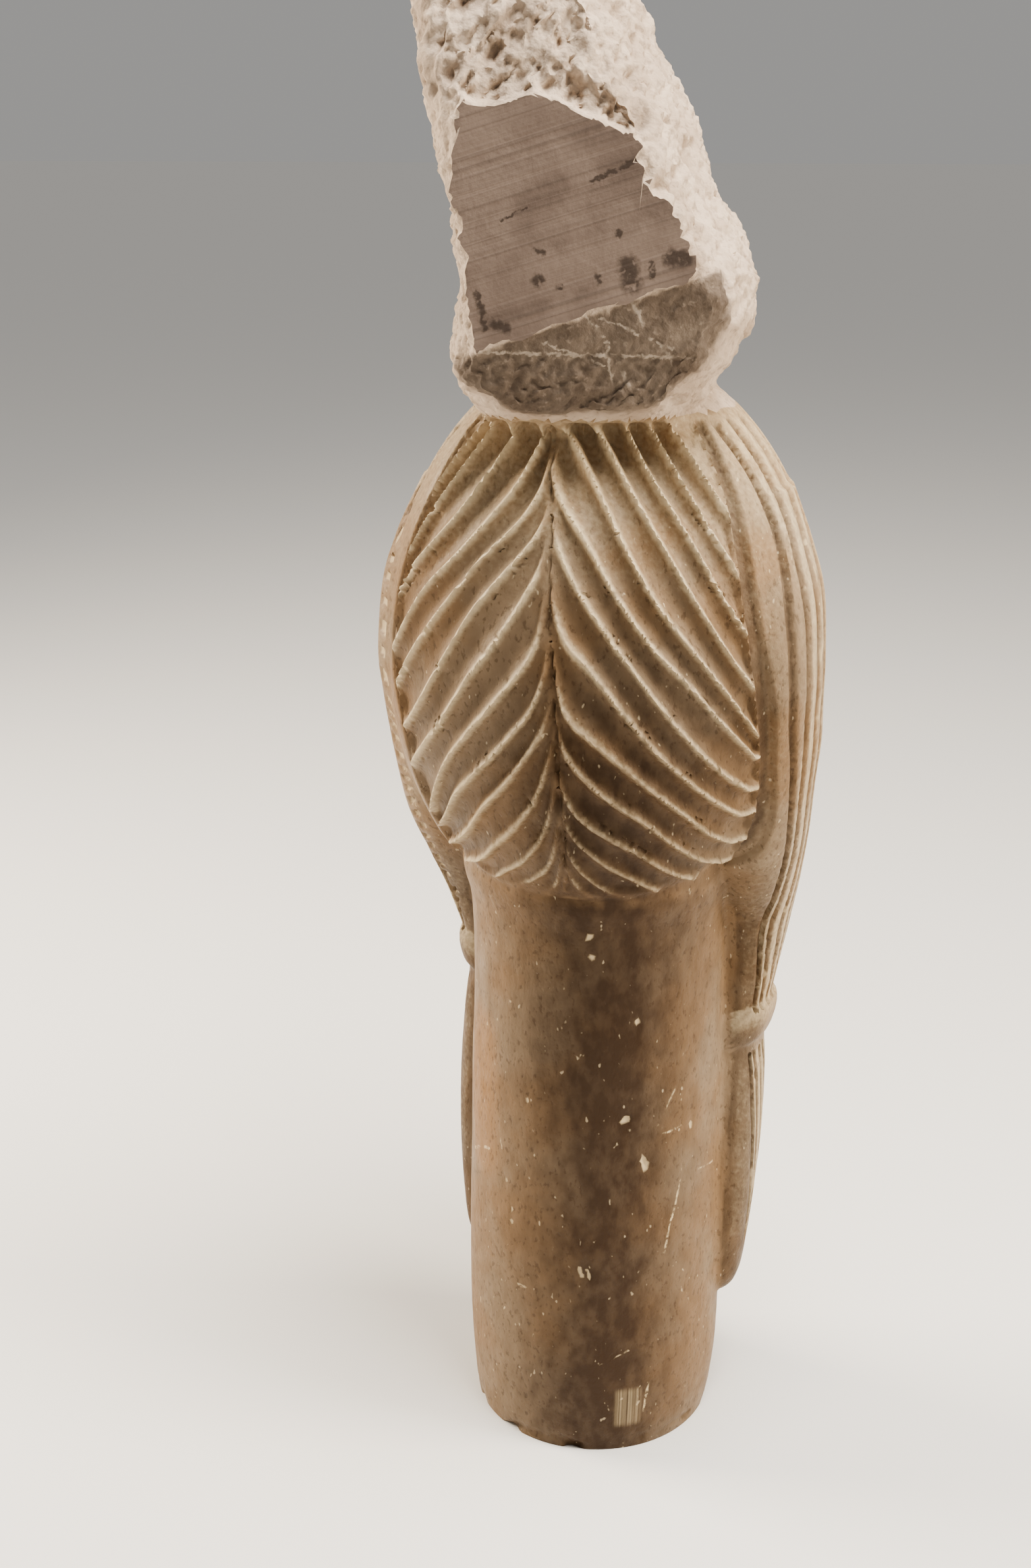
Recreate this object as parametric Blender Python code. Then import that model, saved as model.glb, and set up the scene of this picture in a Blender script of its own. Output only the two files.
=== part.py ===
"""Stone bust of a woman, carved from one block.

A long round neck carries the head. The hair is combed down the back from a centre parting,
falls in two tied bundles beside the neck, and is crowned by a lump of stone left rough.
The face looks along -Y, the nape faces +Y, and the bust stands on z = 0.
"""

import math

import bmesh
import bpy
import numpy as np
from mathutils import Vector, noise

# Driving dimensions, in metres
NECK_HEIGHT = 0.191
NECK_RADIUS = 0.0395
HEAD_WIDTH = 0.128
HEAD_DEPTH = 0.119
HEAD_HEIGHT = 0.174
FACE_WIDTH = 0.083
CROWN_HEIGHT = 0.135
CROWN_WIDTH = 0.074
CROWN_DEPTH = 0.096
SAW_CUT_FROM_AXIS = 0.0540
BAND_WIDTH = 0.012
BAND_THICKNESS = 0.0022
TAIL_LENGTH = 0.0855
TAIL_DROP = 0.0135
STRAND_DEPTH = 0.0030
LOCK_GROOVE = 0.0018

# How finely the stone is worked here
VOXEL = 0.0014
TRIANGLES = 9600
RING_SIDES = 64

# Places that follow from the driving dimensions
HEAD_A = HEAD_WIDTH / 2
HEAD_B = HEAD_DEPTH / 2
HEAD_H = HEAD_HEIGHT / 2
HEAD_Z = NECK_HEIGHT + 0.71 * HEAD_H
CROWN_Z = HEAD_Z + 0.83 * HEAD_H
CROWN_TURN = math.radians(17)
FACE_A = FACE_WIDTH / 2
FACE_H = 0.76 * HEAD_H
FACE_Z = HEAD_Z - 0.20 * HEAD_H


def clear_scene():
    for obj in list(bpy.data.objects):
        bpy.data.objects.remove(obj, do_unlink=True)


def smooth_rows(rows, steps):
    """Catmull-Rom rows between the rows given, so that a loft has round sides."""
    rows = np.array(rows, float)
    padded = np.vstack([2 * rows[0] - rows[1], rows, 2 * rows[-1] - rows[-2]])
    made = []
    for i in range(len(rows) - 1):
        p0, p1, p2, p3 = padded[i : i + 4]
        for t in np.arange(steps) / steps:
            straight = 2 * p1 + (p2 - p0) * t
            bend = (2 * p0 - 5 * p1 + 4 * p2 - p3) * t**2
            twist = (3 * p1 - p0 - 3 * p2 + p3) * t**3
            made.append(0.5 * (straight + bend + twist))
    made.append(rows[-1])
    return made


def curve(value, knots, heights):
    """A smooth curve through points whose spacing is uneven."""
    knots, heights = np.array(knots, float), np.array(heights, float)
    slopes = np.gradient(heights, knots)
    value = np.clip(value, knots[0], knots[-1])
    i = np.clip(np.searchsorted(knots, value) - 1, 0, len(knots) - 2)
    span = knots[i + 1] - knots[i]
    t = (value - knots[i]) / span
    low = heights[i] * (1 + 2 * t) * (1 - t) ** 2 + slopes[i] * span * t * (1 - t) ** 2
    high = heights[i + 1] * (3 - 2 * t) * t**2 - slopes[i + 1] * span * (1 - t) * t**2
    return low + high


def loft(bm, rows, power=2.0, turn=0.0, skew=0.0):
    """A closed form through level rings. A row is height, centre x, centre y, half x, half y."""
    ring = bmesh.ops.create_circle(bm, segments=RING_SIDES, radius=1.0)["verts"]
    directions = [Vector(v.co) for v in ring]
    bm.faces.new(ring)
    for number, row in enumerate(smooth_rows(rows, 4)):
        if number:
            edges = [bm.edges.get((a, b)) for a, b in zip(ring, ring[1:] + ring[:1])]
            new = bmesh.ops.extrude_edge_only(bm, edges=edges)["geom"]
            fresh = {g for g in new if isinstance(g, bmesh.types.BMVert)}
            ring = [
                next(e.other_vert(v) for e in v.link_edges if e.other_vert(v) in fresh)
                for v in ring
            ]
        height, centre_x, centre_y, half_x, half_y = row
        for v, d in zip(ring, directions):
            reach = (abs(d.x) ** power + abs(d.y) ** power) ** (-1 / power)
            along = half_y * d.y * reach
            x = centre_x + half_x * d.x * reach + skew * along
            y = centre_y + along
            v.co = (
                x * math.cos(turn) - y * math.sin(turn),
                x * math.sin(turn) + y * math.cos(turn),
                height,
            )
    bm.faces.new(ring)


def neck(bm):
    """A round column, a little waisted, drawn in at the foot and flared under the hair.
    It starts below the floor line, where it is sawn off flat later."""
    r, h = NECK_RADIUS, NECK_HEIGHT
    rows = [
        (-0.012, 0, 0, 0.90 * r, 0.90 * r),
        (0.0, 0, 0, 0.955 * r, 0.955 * r),
        (0.05 * h, 0, 0, 0.99 * r, 0.985 * r),
        (0.16 * h, 0, 0, 1.025 * r, 1.01 * r),
        (0.45 * h, 0, 0, 1.015 * r, 1.0 * r),
        (0.78 * h, 0, 0, 0.985 * r, 0.97 * r),
        (0.92 * h, 0, 0, 0.99 * r, 0.98 * r),
        (1.0 * h, 0, 0, 1.06 * r, 1.04 * r),
        (1.25 * h, 0, 0, 1.06 * r, 1.04 * r),
    ]
    loft(bm, rows)


def hair_cap(bm):
    """The mass of hair round the skull, cut off below in a shallow curve over the nape and
    swept up in front towards the face."""
    made = bmesh.ops.create_uvsphere(bm, u_segments=96, v_segments=72, radius=1.0)
    for v in made["verts"]:
        x, y, z = v.co.x * HEAD_A, v.co.y * HEAD_B, HEAD_Z + v.co.z * HEAD_H
        hem = NECK_HEIGHT - 0.001 + 0.010 * abs(x / (0.70 * HEAD_A)) ** 3
        hem += 0.030 * max(0.0, -y / HEAD_B) ** 2
        v.co = (x, y, max(z, hem))


def face_mass(bm):
    """The plain egg of the face, from the chin up to the hairline."""
    back = -0.25 * HEAD_B
    shape = [
        (-0.985, 0.20, 0.25),
        (-0.94, 0.36, 0.61),
        (-0.83, 0.55, 0.735),
        (-0.60, 0.745, 0.78),
        (-0.30, 0.90, 0.795),
        (0.06, 0.995, 0.82),
        (0.40, 1.0, 0.825),
        (0.70, 0.95, 0.78),
        (0.95, 0.80, 0.67),
        (1.12, 0.55, 0.51),
    ]
    rows = [
        (FACE_Z + share * FACE_H, 0, back, width * FACE_A, reach * HEAD_B)
        for share, width, reach in shape
    ]
    loft(bm, rows, power=2.15)


def tie_height(side):
    """The middle of the band. The one on the -X side sits lower."""
    return NECK_HEIGHT - 0.046 - (TAIL_DROP if side < 0 else 0.0)


def tail_length(side):
    """Below the band. Both tails end at one height."""
    return TAIL_LENGTH + (TAIL_DROP if side > 0 else 0.0)


def side_bundle(bm, side):
    """One of the two bundles that hang beside the neck, with its pointed tail."""
    drop = TAIL_DROP if side < 0 else 0.0
    tie = tie_height(side)
    tail = tie - BAND_WIDTH / 2
    a, b, r = HEAD_A, HEAD_B, NECK_RADIUS
    hanging = [
        (0.58, 0.55, -0.00, 0.28, 0.34),
        (0.40, 0.655, 0.05, 0.275, 0.40),
        (0.23, 0.72, 0.06, 0.275, 0.44),
        (0.0, 0.75, 0.07, 0.265, 0.46),
        (-0.14, 0.755, 0.04, 0.255, 0.45),
        (-0.28, 0.755, -0.01, 0.25, 0.44),
        (-0.42, 0.745, -0.03, 0.24, 0.41),
        (-0.61, 0.735, -0.09, 0.225, 0.37),
        (-0.80, 0.71, -0.21, 0.205, 0.32),
        (-1.00, 0.67, -0.32, 0.187, 0.27),
    ]
    rows = [(HEAD_Z + s * HEAD_H, x * a, y * b, qx * a, qy * b) for s, x, y, qx, qy in hanging]
    rows.append((tie - 0.1 * drop, 0.95 * r, -0.33 * b, 0.172 * a, 0.245 * b))
    for share, x, y, qx, qy in (
        (0.12, 0.965, -0.29, 0.176, 0.24),
        (0.35, 0.99, -0.235, 0.170, 0.22),
        (0.60, 1.005, -0.18, 0.148, 0.19),
        (0.85, 1.005, -0.15, 0.118, 0.15),
        (0.95, 0.99, -0.15, 0.098, 0.12),
        (1.0, 0.97, -0.16, 0.065, 0.08),
    ):
        rows.append((tail - share * tail_length(side), x * r, y * b, qx * a, qy * b))
    loft(bm, [(z, side * x, y, qx, qy) for z, x, y, qx, qy in rows], power=2.6)


def band(bm, side):
    """The smooth ring that ties a bundle, higher on its outer side."""
    tie = tie_height(side)
    centre_x, centre_y = side * 0.95 * NECK_RADIUS, -0.33 * HEAD_B
    half_x = 0.172 * HEAD_A + BAND_THICKNESS
    half_y = 0.245 * HEAD_B + BAND_THICKNESS
    start = len(bm.verts)
    rows = [
        (tie - 0.50 * BAND_WIDTH, centre_x, centre_y, 0.86 * half_x, 0.89 * half_y),
        (tie - 0.34 * BAND_WIDTH, centre_x, centre_y, 0.98 * half_x, 0.99 * half_y),
        (tie + 0.10 * BAND_WIDTH, centre_x, centre_y, 1.07 * half_x, 1.06 * half_y),
        (tie + 0.40 * BAND_WIDTH, centre_x, centre_y, 1.04 * half_x, 1.03 * half_y),
        (tie + 0.50 * BAND_WIDTH, centre_x, centre_y, 0.95 * half_x, 0.96 * half_y),
    ]
    loft(bm, rows, power=2.6)
    bm.verts.ensure_lookup_table()
    for v in bm.verts[start:]:
        v.co.z += 0.22 * (v.co.x - centre_x) * side


def crown(bm):
    """The lump of rough stone over the hair. It is turned to one side and leans to +X."""
    w, d, h = CROWN_WIDTH / 2, CROWN_DEPTH / 2, CROWN_HEIGHT
    rows = [
        (-0.06, 0.05, 0.02, 0.68, 0.64),
        (0.01, 0.10, 0.05, 0.86, 0.86),
        (0.06, 0.12, 0.08, 0.97, 1.04),
        (0.14, 0.04, 0.10, 1.06, 1.15),
        (0.26, 0.00, 0.12, 1.04, 1.20),
        (0.40, 0.16, 0.12, 0.93, 1.20),
        (0.52, 0.30, 0.10, 0.90, 1.16),
        (0.65, 0.48, 0.06, 0.82, 1.06),
        (0.78, 0.60, 0.03, 0.74, 0.96),
        (0.90, 0.66, 0.00, 0.60, 0.76),
        (1.0, 0.68, 0.00, 0.34, 0.42),
    ]
    placed = [(CROWN_Z + s * h, x * w, y * d, rx * w, ry * d) for s, x, y, rx, ry in rows]
    loft(bm, placed, power=3.0, turn=CROWN_TURN, skew=0.12)


def blocked_out():
    """All the masses as one mesh, ready to be merged."""
    bm = bmesh.new()
    neck(bm)
    hair_cap(bm)
    face_mass(bm)
    crown(bm)
    for side in (-1, 1):
        side_bundle(bm, side)
        band(bm, side)
    bmesh.ops.recalc_face_normals(bm, faces=bm.faces)
    mesh = bpy.data.meshes.new("blocked_out")
    bm.to_mesh(mesh)
    bm.free()
    return mesh


def merged(mesh):
    """The masses merged into one skin, with the creases between them eased."""
    obj = bpy.data.objects.new("masses", mesh)
    bpy.context.scene.collection.objects.link(obj)
    remesh = obj.modifiers.new("merge", "REMESH")
    remesh.mode = "VOXEL"
    remesh.voxel_size = VOXEL
    ease = obj.modifiers.new("ease", "SMOOTH")
    ease.factor = 0.5
    ease.iterations = 2
    graph = bpy.context.evaluated_depsgraph_get()
    skin = bpy.data.meshes.new_from_object(obj.evaluated_get(graph))
    bpy.data.objects.remove(obj, do_unlink=True)
    return skin


def step(low, high, value):
    """0 below low, 1 above high, and a smooth rise between."""
    t = np.clip((value - low) / (high - low), 0, 1)
    return t * t * (3 - 2 * t)


def bump(x, z, at_x, at_z, wide, high):
    return np.exp(-(((x - at_x) / wide) ** 2) - ((z - at_z) / high) ** 2)


def measured(height):
    """Level of a height given in mm above the foot, as read on a head 174 mm high whose middle
    is 252.8 mm up. Levels are in half head heights from the head's middle."""
    return (np.array(height, float) - 252.8) / 87.0


def parting(level):
    """Where the parting runs, in degrees round from the nape. Low down it wanders to -X."""
    heights = (190, 220, 240, 260, 270, 280, 290, 300, 311, 325)
    turns = (5.5, 5.3, 4.8, 3.8, 2.8, 1.7, 1.1, 0.3, -2.5, -5.0)
    return np.interp(level, measured(heights), turns)


# How high each strand lies, in mm above the foot, at these turns away from the parting. The
# topmost strand comes first. The two sides are combed differently.
FROM_PARTING = (0, 1, 2.5, 5, 10, 20, 30, 40, 50, 60)
RIGHT_STRANDS = (
    (395, 394, 392, 388, 380, 362, 345, 328, 309, 291),
    (378, 376, 374, 370, 363, 347, 330, 312, 293, 276),
    (361, 359, 357, 353, 346, 330, 313, 297, 278, 262),
    (342, 340, 337, 333, 327, 314, 299, 281, 264, 251),
    (330, 328, 325, 321, 315, 298, 280, 266, 253, 240),
    (311, 309, 306, 302, 296, 281, 267, 256, 244, 234),
    (303, 298, 294, 289, 281, 268, 254, 241, 231, 224),
    (299, 284, 275, 269, 264, 253, 240, 230, 222, 216),
    (277, 262, 253, 248, 244, 237, 228, 220, 212, 207),
    (258, 247, 240, 236, 231, 224, 217, 209, 203, 200),
    (242, 231, 225, 221, 217, 212, 206, 200, 196, 195),
    (230, 221, 216, 212, 208, 202, 197, 192, 189, 188),
    (220, 211, 206, 202, 198, 193, 189, 185, 182, 181),
    (210, 201, 197, 194, 191, 186, 182, 178, 175, 174),
    (201, 193, 189, 186, 183, 178, 174, 170, 167, 166),
    (192, 185, 181, 178, 175, 170, 166, 162, 159, 158),
)
LEFT_STRANDS = (
    (398, 397, 396, 394, 388, 371, 350, 325, 303, 285),
    (380, 378, 376, 372, 365, 350, 330, 308, 291, 272),
    (351, 349, 347, 343, 335, 320, 302, 290, 280, 266),
    (331, 329, 326, 320, 311, 298, 287, 277, 264, 252),
    (312, 309, 307, 304, 298, 288, 275, 263, 251, 240),
    (304, 301, 298, 294, 288, 275, 259, 245, 236, 230),
    (297, 291, 287, 282, 273, 257, 243, 233, 225, 217),
    (284, 277, 270, 264, 256, 242, 231, 219, 209, 203),
    (270, 263, 257, 250, 242, 229, 220, 210, 204, 199),
    (256, 250, 245, 240, 231, 218, 208, 202, 198, 195),
    (246, 239, 233, 225, 216, 205, 198, 195, 192, 189),
    (233, 226, 219, 212, 204, 196, 191, 188, 185, 183),
    (220, 214, 207, 201, 196, 190, 185, 181, 178, 176),
    (210, 204, 198, 193, 188, 183, 178, 174, 171, 169),
    (201, 195, 190, 185, 181, 176, 171, 167, 164, 162),
    (192, 187, 182, 177, 173, 168, 163, 159, 156, 154),
)


def combed_strands(turn, level):
    """The hair combed down the back: 1 on the cord of a strand, 1 at the bottom of a flute, and
    how far a point is from the parting. turn is in degrees round from the nape, positive to
    -X, and level is in half head heights from the head's middle."""
    middle = parting(level)
    past = turn > middle
    spread = np.where(past, 20 / (20 - middle), 20 / (20 + middle))
    near = np.abs(turn - middle) * spread
    away = np.where(near < 20, near, np.abs(turn))
    number = np.zeros(len(turn))
    for side, strands in ((past, RIGHT_STRANDS), (~past, LEFT_STRANDS)):
        heights = [curve(away[side], FROM_PARTING, measured(row)) for row in strands]
        count = np.zeros(side.sum())
        for upper, lower in zip(heights, heights[1:]):
            count += np.clip((upper - level[side]) / (upper - lower), 0, 1)
        number[side] = count
    off = np.abs(number - np.round(number))
    half = 0.17 + 0.08 * (1 - step(1.0, 8.0, away))
    cord = np.exp(-((off / half) ** 2.4))
    flute = 1 - (1 - 2 * off) ** 2
    return cord, flute, away


def panel_edge(turn, level):
    """Where the combed hair of the back ends at each side, in degrees round from the nape."""
    right = curve(level, (-0.62, -0.47, -0.27, 0.0, 0.3, 0.6), (67.0, 66.5, 62.5, 57.5, 54.5, 55.5))
    left = curve(level, (-0.60, -0.40, -0.20, 0.0, 0.3, 0.6), (50.0, 53.0, 52.0, 56.0, 54.5, 50.0))
    return np.where(turn > 0, right, left)


def lock_angle(x, y, z):
    """Angle round the core of a side bundle, in degrees: 0 behind, 90 outside, 180 in front."""
    level = (z - HEAD_Z) / HEAD_H
    reach = curve(level, (-1.2, 0.0, 0.80), (0.40, 0.59, 0.60)) * HEAD_A
    outside = curve(
        level, (-1.2, -0.70, -0.1, 0.35, 0.60, 0.80), (0.86, 0.95, 1.0, 0.94, 0.81, 0.62)
    )
    core_x = np.maximum(outside * HEAD_A - reach, 0)
    core_y = curve(level, (-1.2, -0.3, 0.3), (-0.36, -0.14, -0.12)) * HEAD_B
    return np.degrees(np.arctan2(np.abs(x) - core_x, y - core_y)) % 360


# How far round the bundle at -X its two rear grooves lie, in degrees, at these heights in mm
GROOVE_HEIGHTS = (140, 196, 218, 229, 240, 250, 262, 277, 286, 294, 308)
FIRST_GROOVE = (56, 55.5, 54, 52.5, 50, 49, 49, 50, 52.5, 55, 56)
SECOND_GROOVE = (62, 61, 60.5, 60, 59.5, 59, 58.6, 59, 59.8, 62.4, 65.5)


def locks(x, y, z):
    """Grooves between the long locks of a bundle, 1 at the bottom of a groove. The rearmost
    lock is broad and plain."""
    level = (z - HEAD_Z) / HEAD_H
    heights = measured(GROOVE_HEIGHTS)
    first = np.where(x < 0, curve(level, heights, FIRST_GROOVE), 57.0)
    second = np.where(x < 0, curve(level, heights, SECOND_GROOVE), 69.0)
    angle = lock_angle(x, y, z)
    number = np.where(angle < first, 0.5 - (first - angle) / 12, 0.5)
    number += np.clip((angle - first) / (second - first), 0, 1)
    number += np.clip((angle - second) / 12, 0, None)
    number = np.maximum(number, -0.1)
    off = np.abs(number - np.round(number))
    return step(0.26, 0.42, off)


def face_relief(x, z):
    """How far each feature stands out from the egg of the face, in metres."""
    u, v = np.abs(x) / FACE_A, (z - FACE_Z) / FACE_H
    down = np.clip((0.42 - v) / 0.62, 0, 1)
    bridge = (0.0028 + 0.0095 * down) * np.exp(-((u / (0.115 + 0.05 * down)) ** 2))
    nose = bridge * step(-0.30, -0.20, v) * (1 - step(0.36, 0.50, v))
    nose += 0.0048 * bump(u, v, 0.17, -0.20, 0.11, 0.065)
    brow_line = 0.42 - 0.60 * (u - 0.42) ** 2
    brow = 0.0020 * np.exp(-(((v - brow_line) / 0.07) ** 2))
    brow *= step(0.06, 0.2, u) * (1 - step(0.72, 0.9, u))
    socket = -0.0046 * bump(u, v, 0.42, 0.22, 0.27, 0.13)
    dome = np.clip(1 - ((u - 0.43) / 0.245) ** 2 - ((v - 0.20) / 0.085) ** 2, 0, 1)
    lid = 0.0052 * dome**0.6
    cheek = 0.0016 * bump(u, v, 0.62, -0.06, 0.25, 0.20)
    upper_lip = 0.0044 * bump(u, v, 0.11, -0.475, 0.22, 0.045)
    lower_lip = 0.0048 * bump(u, v, 0.0, -0.585, 0.25, 0.052)
    mouth = -0.0022 * np.exp(-(((v + 0.527 - 0.03 * u) / 0.020) ** 2))
    mouth *= 1 - step(0.29, 0.41, u)
    under_lip = -0.0018 * bump(u, v, 0.0, -0.70, 0.28, 0.05)
    chin = 0.0026 * bump(u, v, 0.0, -0.83, 0.22, 0.10)
    lips = upper_lip + lower_lip + mouth + under_lip
    return nose + brow + socket + lid + cheek + lips + chin


def hairline(x, z):
    """1 is on the edge of the face, less is skin and more is hair."""
    return np.sqrt((x / (0.985 * FACE_A)) ** 2 + ((z - FACE_Z) / (0.99 * FACE_H)) ** 2)


def carve_hair(points, normals):
    """Cuts the combed strands of the back and the long locks of the sides."""
    x, y, z = points.T
    turn = np.degrees(np.arctan2(-x, y))
    level = (z - HEAD_Z) / HEAD_H
    past_edge = np.abs(turn) - panel_edge(turn, level)
    from_axis = np.hypot(x, y)
    below_crown = 1 - step(CROWN_Z - 0.005, CROWN_Z - 0.001, z)
    on_cap = step(1.07 * NECK_RADIUS, 1.13 * NECK_RADIUS, from_axis) * step(-0.735, -0.70, level)
    on_cap = np.maximum(on_cap, step(0.4, 0.5, level)) * below_crown
    cord, flute, away = combed_strands(turn, level)
    inside = 1 - step(-0.5, 0.8, past_edge)
    seam_end = np.where(x < 0, 6.0, 2.8)
    seam = step(0.4, 1.4, past_edge) * (1 - step(seam_end - 1.6, seam_end, past_edge))
    seam *= step(-0.75, -0.6, level)
    parting_line = 1 - step(0.3, 1.4, away)
    profile = 0.43 * (cord - 0.25) - 0.57 * flute * step(0.5, 5.0, away) - 0.4 * parting_line
    shallow = 0.50 * (1 - step(-0.66, -0.40, level)) * (1 - step(14, 34, away))
    combed = STRAND_DEPTH * profile * inside * (1 - shallow)
    relief = (combed - 0.0021 * seam) * on_cap
    low = np.where(x < 0, tie_height(-1), tie_height(1)) - 0.9 * TAIL_LENGTH
    is_lock = step(34.0, 37.0, lock_angle(x, y, z)) * step(low, low + 0.01, z)
    clear_of_neck = step(1.10 * NECK_RADIUS, 1.14 * NECK_RADIUS, from_axis)
    on_bundle = clear_of_neck * (np.abs(x) > 0.62 * HEAD_A)
    where = np.where(level > -0.6, np.maximum(on_cap, on_bundle), on_bundle)
    where = where * is_lock * below_crown * step(3.0, 5.0, past_edge) * hair_side(x, y, z)
    brow_parting = (y < 0) * (1 - step(0.06, 0.14, np.abs(x) / HEAD_A))
    relief -= LOCK_GROOVE * locks(x, y, z) * where * (1 - brow_parting)
    front_line = np.exp(-((x / 0.0014) ** 2)) * brow_parting * hair_side(x, y, z) * below_crown
    relief -= LOCK_GROOVE * front_line * (level > 0)
    for side in (-1, 1):
        near = np.abs(z - tie_height(side)) < 0.65 * BAND_WIDTH
        relief = np.where(near & (x * side > 0), 0, relief)
    points += normals * relief[:, None]


def hair_side(x, y, z):
    """0 on the skin of the face and under the chin, 1 on the hair."""
    front = y < -0.30 * HEAD_B
    rim = step(1.0, 1.05, hairline(x, z))
    under_chin = (z < FACE_Z - 0.55 * FACE_H) & (np.abs(x) < 0.56 * HEAD_A)
    return np.where(front, np.where(under_chin, 0, rim), 1)


def carve_face(points, normals):
    """Raises the features, and the hair in a soft roll round them."""
    x, y, z = points.T
    front = step(0.15, 0.55, -normals[:, 1]) * (y < -0.2 * HEAD_B)
    edge = hairline(x, z)
    skin = (1 - step(0.90, 1.0, edge)) * front
    points[:, 1] -= face_relief(x, z) * skin
    raised = 0.0024 * step(1.0, 1.04, edge) * (1 - step(1.2, 1.5, edge))
    on_hair = (z > FACE_Z - 0.5 * FACE_H) & (z < CROWN_Z)
    points += normals * (raised * front * on_hair)[:, None]


def crown_axes(points):
    """Distances across the saw cut, and behind the axis square to it."""
    x, y = points[:, 0], points[:, 1]
    across = x * math.cos(CROWN_TURN) + y * math.sin(CROWN_TURN)
    return across, y * math.cos(CROWN_TURN) - x * math.sin(CROWN_TURN)


def carve_crown(points, normals):
    """Broken stone all round, then the saw cut behind, broken off above it, with a second cut
    below a line that slants up to -X."""
    rough = step(CROWN_Z - 0.001, CROWN_Z + 0.006, points[:, 2])
    pits = np.zeros(len(points))
    for i in np.nonzero(rough > 0)[0]:
        p = Vector(points[i])
        lumps = noise.noise(p * 38.0 + Vector((3.1, 0.4, 7.7)))
        pits[i] = noise.noise(p * 110.0 + Vector((9.2, 5.5, 1.3)))
        points[i] += normals[i] * rough[i] * (0.0036 * lumps + 0.0020 * pits[i])

    across, behind = crown_axes(points)
    share = across / (CROWN_WIDTH / 2)
    rise = (points[:, 2] - CROWN_Z) / CROWN_HEIGHT
    border = np.interp(
        share,
        (-0.62, -0.46, -0.34, -0.04, 0.11, 0.51, 0.97),
        (0.42, 0.445, 0.505, 0.53, 0.555, 0.585, 0.585),
    )
    slanted = 0.208 - 0.0913 * (share - 0.10)
    above = np.clip(rise - border, 0, None) * CROWN_HEIGHT
    below = np.clip(slanted - rise, 0, None) * CROWN_HEIGHT
    limit = SAW_CUT_FROM_AXIS - 0.0008 - 0.30 * above - 0.16 * below
    limit -= step(0.0, 0.002, above) * (0.0022 + 0.0022 * pits)
    limit -= step(0.0, 0.001, below) * 0.0004
    push_in(points, np.where(rough > 0, np.clip(behind - limit, 0, None), 0))


def push_in(points, depth):
    """Moves points forward, square to the saw cut."""
    points[:, 0] += depth * math.sin(CROWN_TURN)
    points[:, 1] -= depth * math.cos(CROWN_TURN)


def carved(mesh):
    """Moves the skin in and out to cut the hair, the face and the rough crown."""
    count = len(mesh.vertices)
    points = np.empty(count * 3, np.float32)
    mesh.vertices.foreach_get("co", points)
    normals = np.empty(count * 3, np.float32)
    mesh.vertex_normals.foreach_get("vector", normals)
    points = points.reshape(-1, 3).astype(float)
    normals = normals.reshape(-1, 3).astype(float)
    carve_hair(points, normals)
    carve_face(points, normals)
    carve_crown(points, normals)
    mesh.vertices.foreach_set("co", points.astype(np.float32).ravel())
    mesh.update()
    return mesh


def thinned(mesh):
    """The same surface in fewer triangles, sawn off flat at the floor."""
    obj = bpy.data.objects.new("carving", mesh)
    bpy.context.scene.collection.objects.link(obj)
    thin = obj.modifiers.new("thin", "DECIMATE")
    thin.use_collapse_triangulate = True
    mesh.calc_loop_triangles()
    thin.ratio = min(1.0, TRIANGLES / len(mesh.loop_triangles))
    graph = bpy.context.evaluated_depsgraph_get()
    bm = bmesh.new()
    bm.from_mesh(bpy.data.meshes.new_from_object(obj.evaluated_get(graph)))
    bpy.data.objects.remove(obj, do_unlink=True)
    whole = bm.verts[:] + bm.edges[:] + bm.faces[:]
    cut = bmesh.ops.bisect_plane(
        bm, geom=whole, dist=1e-6, plane_co=(0, 0, 0), plane_no=(0, 0, -1), clear_outer=True
    )
    rim = [g for g in cut["geom_cut"] if isinstance(g, bmesh.types.BMEdge)]
    bmesh.ops.edgenet_fill(bm, edges=rim)
    bmesh.ops.recalc_face_normals(bm, faces=bm.faces)
    thin_mesh = bpy.data.meshes.new("bust")
    bm.to_mesh(thin_mesh)
    bm.free()
    return thin_mesh


def stone():
    """Brown soapstone, rubbed smooth."""
    material = bpy.data.materials.new("brown_stone")
    material.use_nodes = True
    shader = material.node_tree.nodes["Principled BSDF"]
    shader.inputs["Base Color"].default_value = (0.34, 0.25, 0.17, 1)
    shader.inputs["Roughness"].default_value = 0.55
    shader.inputs["Metallic"].default_value = 0.0
    return material


def main():
    clear_scene()
    mesh = thinned(carved(merged(blocked_out())))
    bust = bpy.data.objects.new("bust", mesh)
    bpy.context.scene.collection.objects.link(bust)
    mesh.materials.append(stone())


main()
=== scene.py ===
import math

import bmesh
import bpy
import numpy as np
from mathutils import Matrix, Vector, noise


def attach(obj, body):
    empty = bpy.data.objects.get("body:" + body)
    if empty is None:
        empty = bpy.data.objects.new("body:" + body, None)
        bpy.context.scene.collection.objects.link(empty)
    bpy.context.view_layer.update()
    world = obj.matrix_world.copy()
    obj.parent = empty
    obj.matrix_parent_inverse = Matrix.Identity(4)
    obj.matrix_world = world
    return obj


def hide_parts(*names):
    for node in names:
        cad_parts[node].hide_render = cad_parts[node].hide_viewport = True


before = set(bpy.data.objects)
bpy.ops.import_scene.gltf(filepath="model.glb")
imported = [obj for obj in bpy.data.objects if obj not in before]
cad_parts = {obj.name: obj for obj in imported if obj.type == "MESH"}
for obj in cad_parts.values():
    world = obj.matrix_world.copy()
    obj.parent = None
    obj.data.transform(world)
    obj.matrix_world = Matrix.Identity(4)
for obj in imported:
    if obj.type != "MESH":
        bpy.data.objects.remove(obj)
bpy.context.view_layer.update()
print("frame loaded:", sorted(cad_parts))


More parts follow.
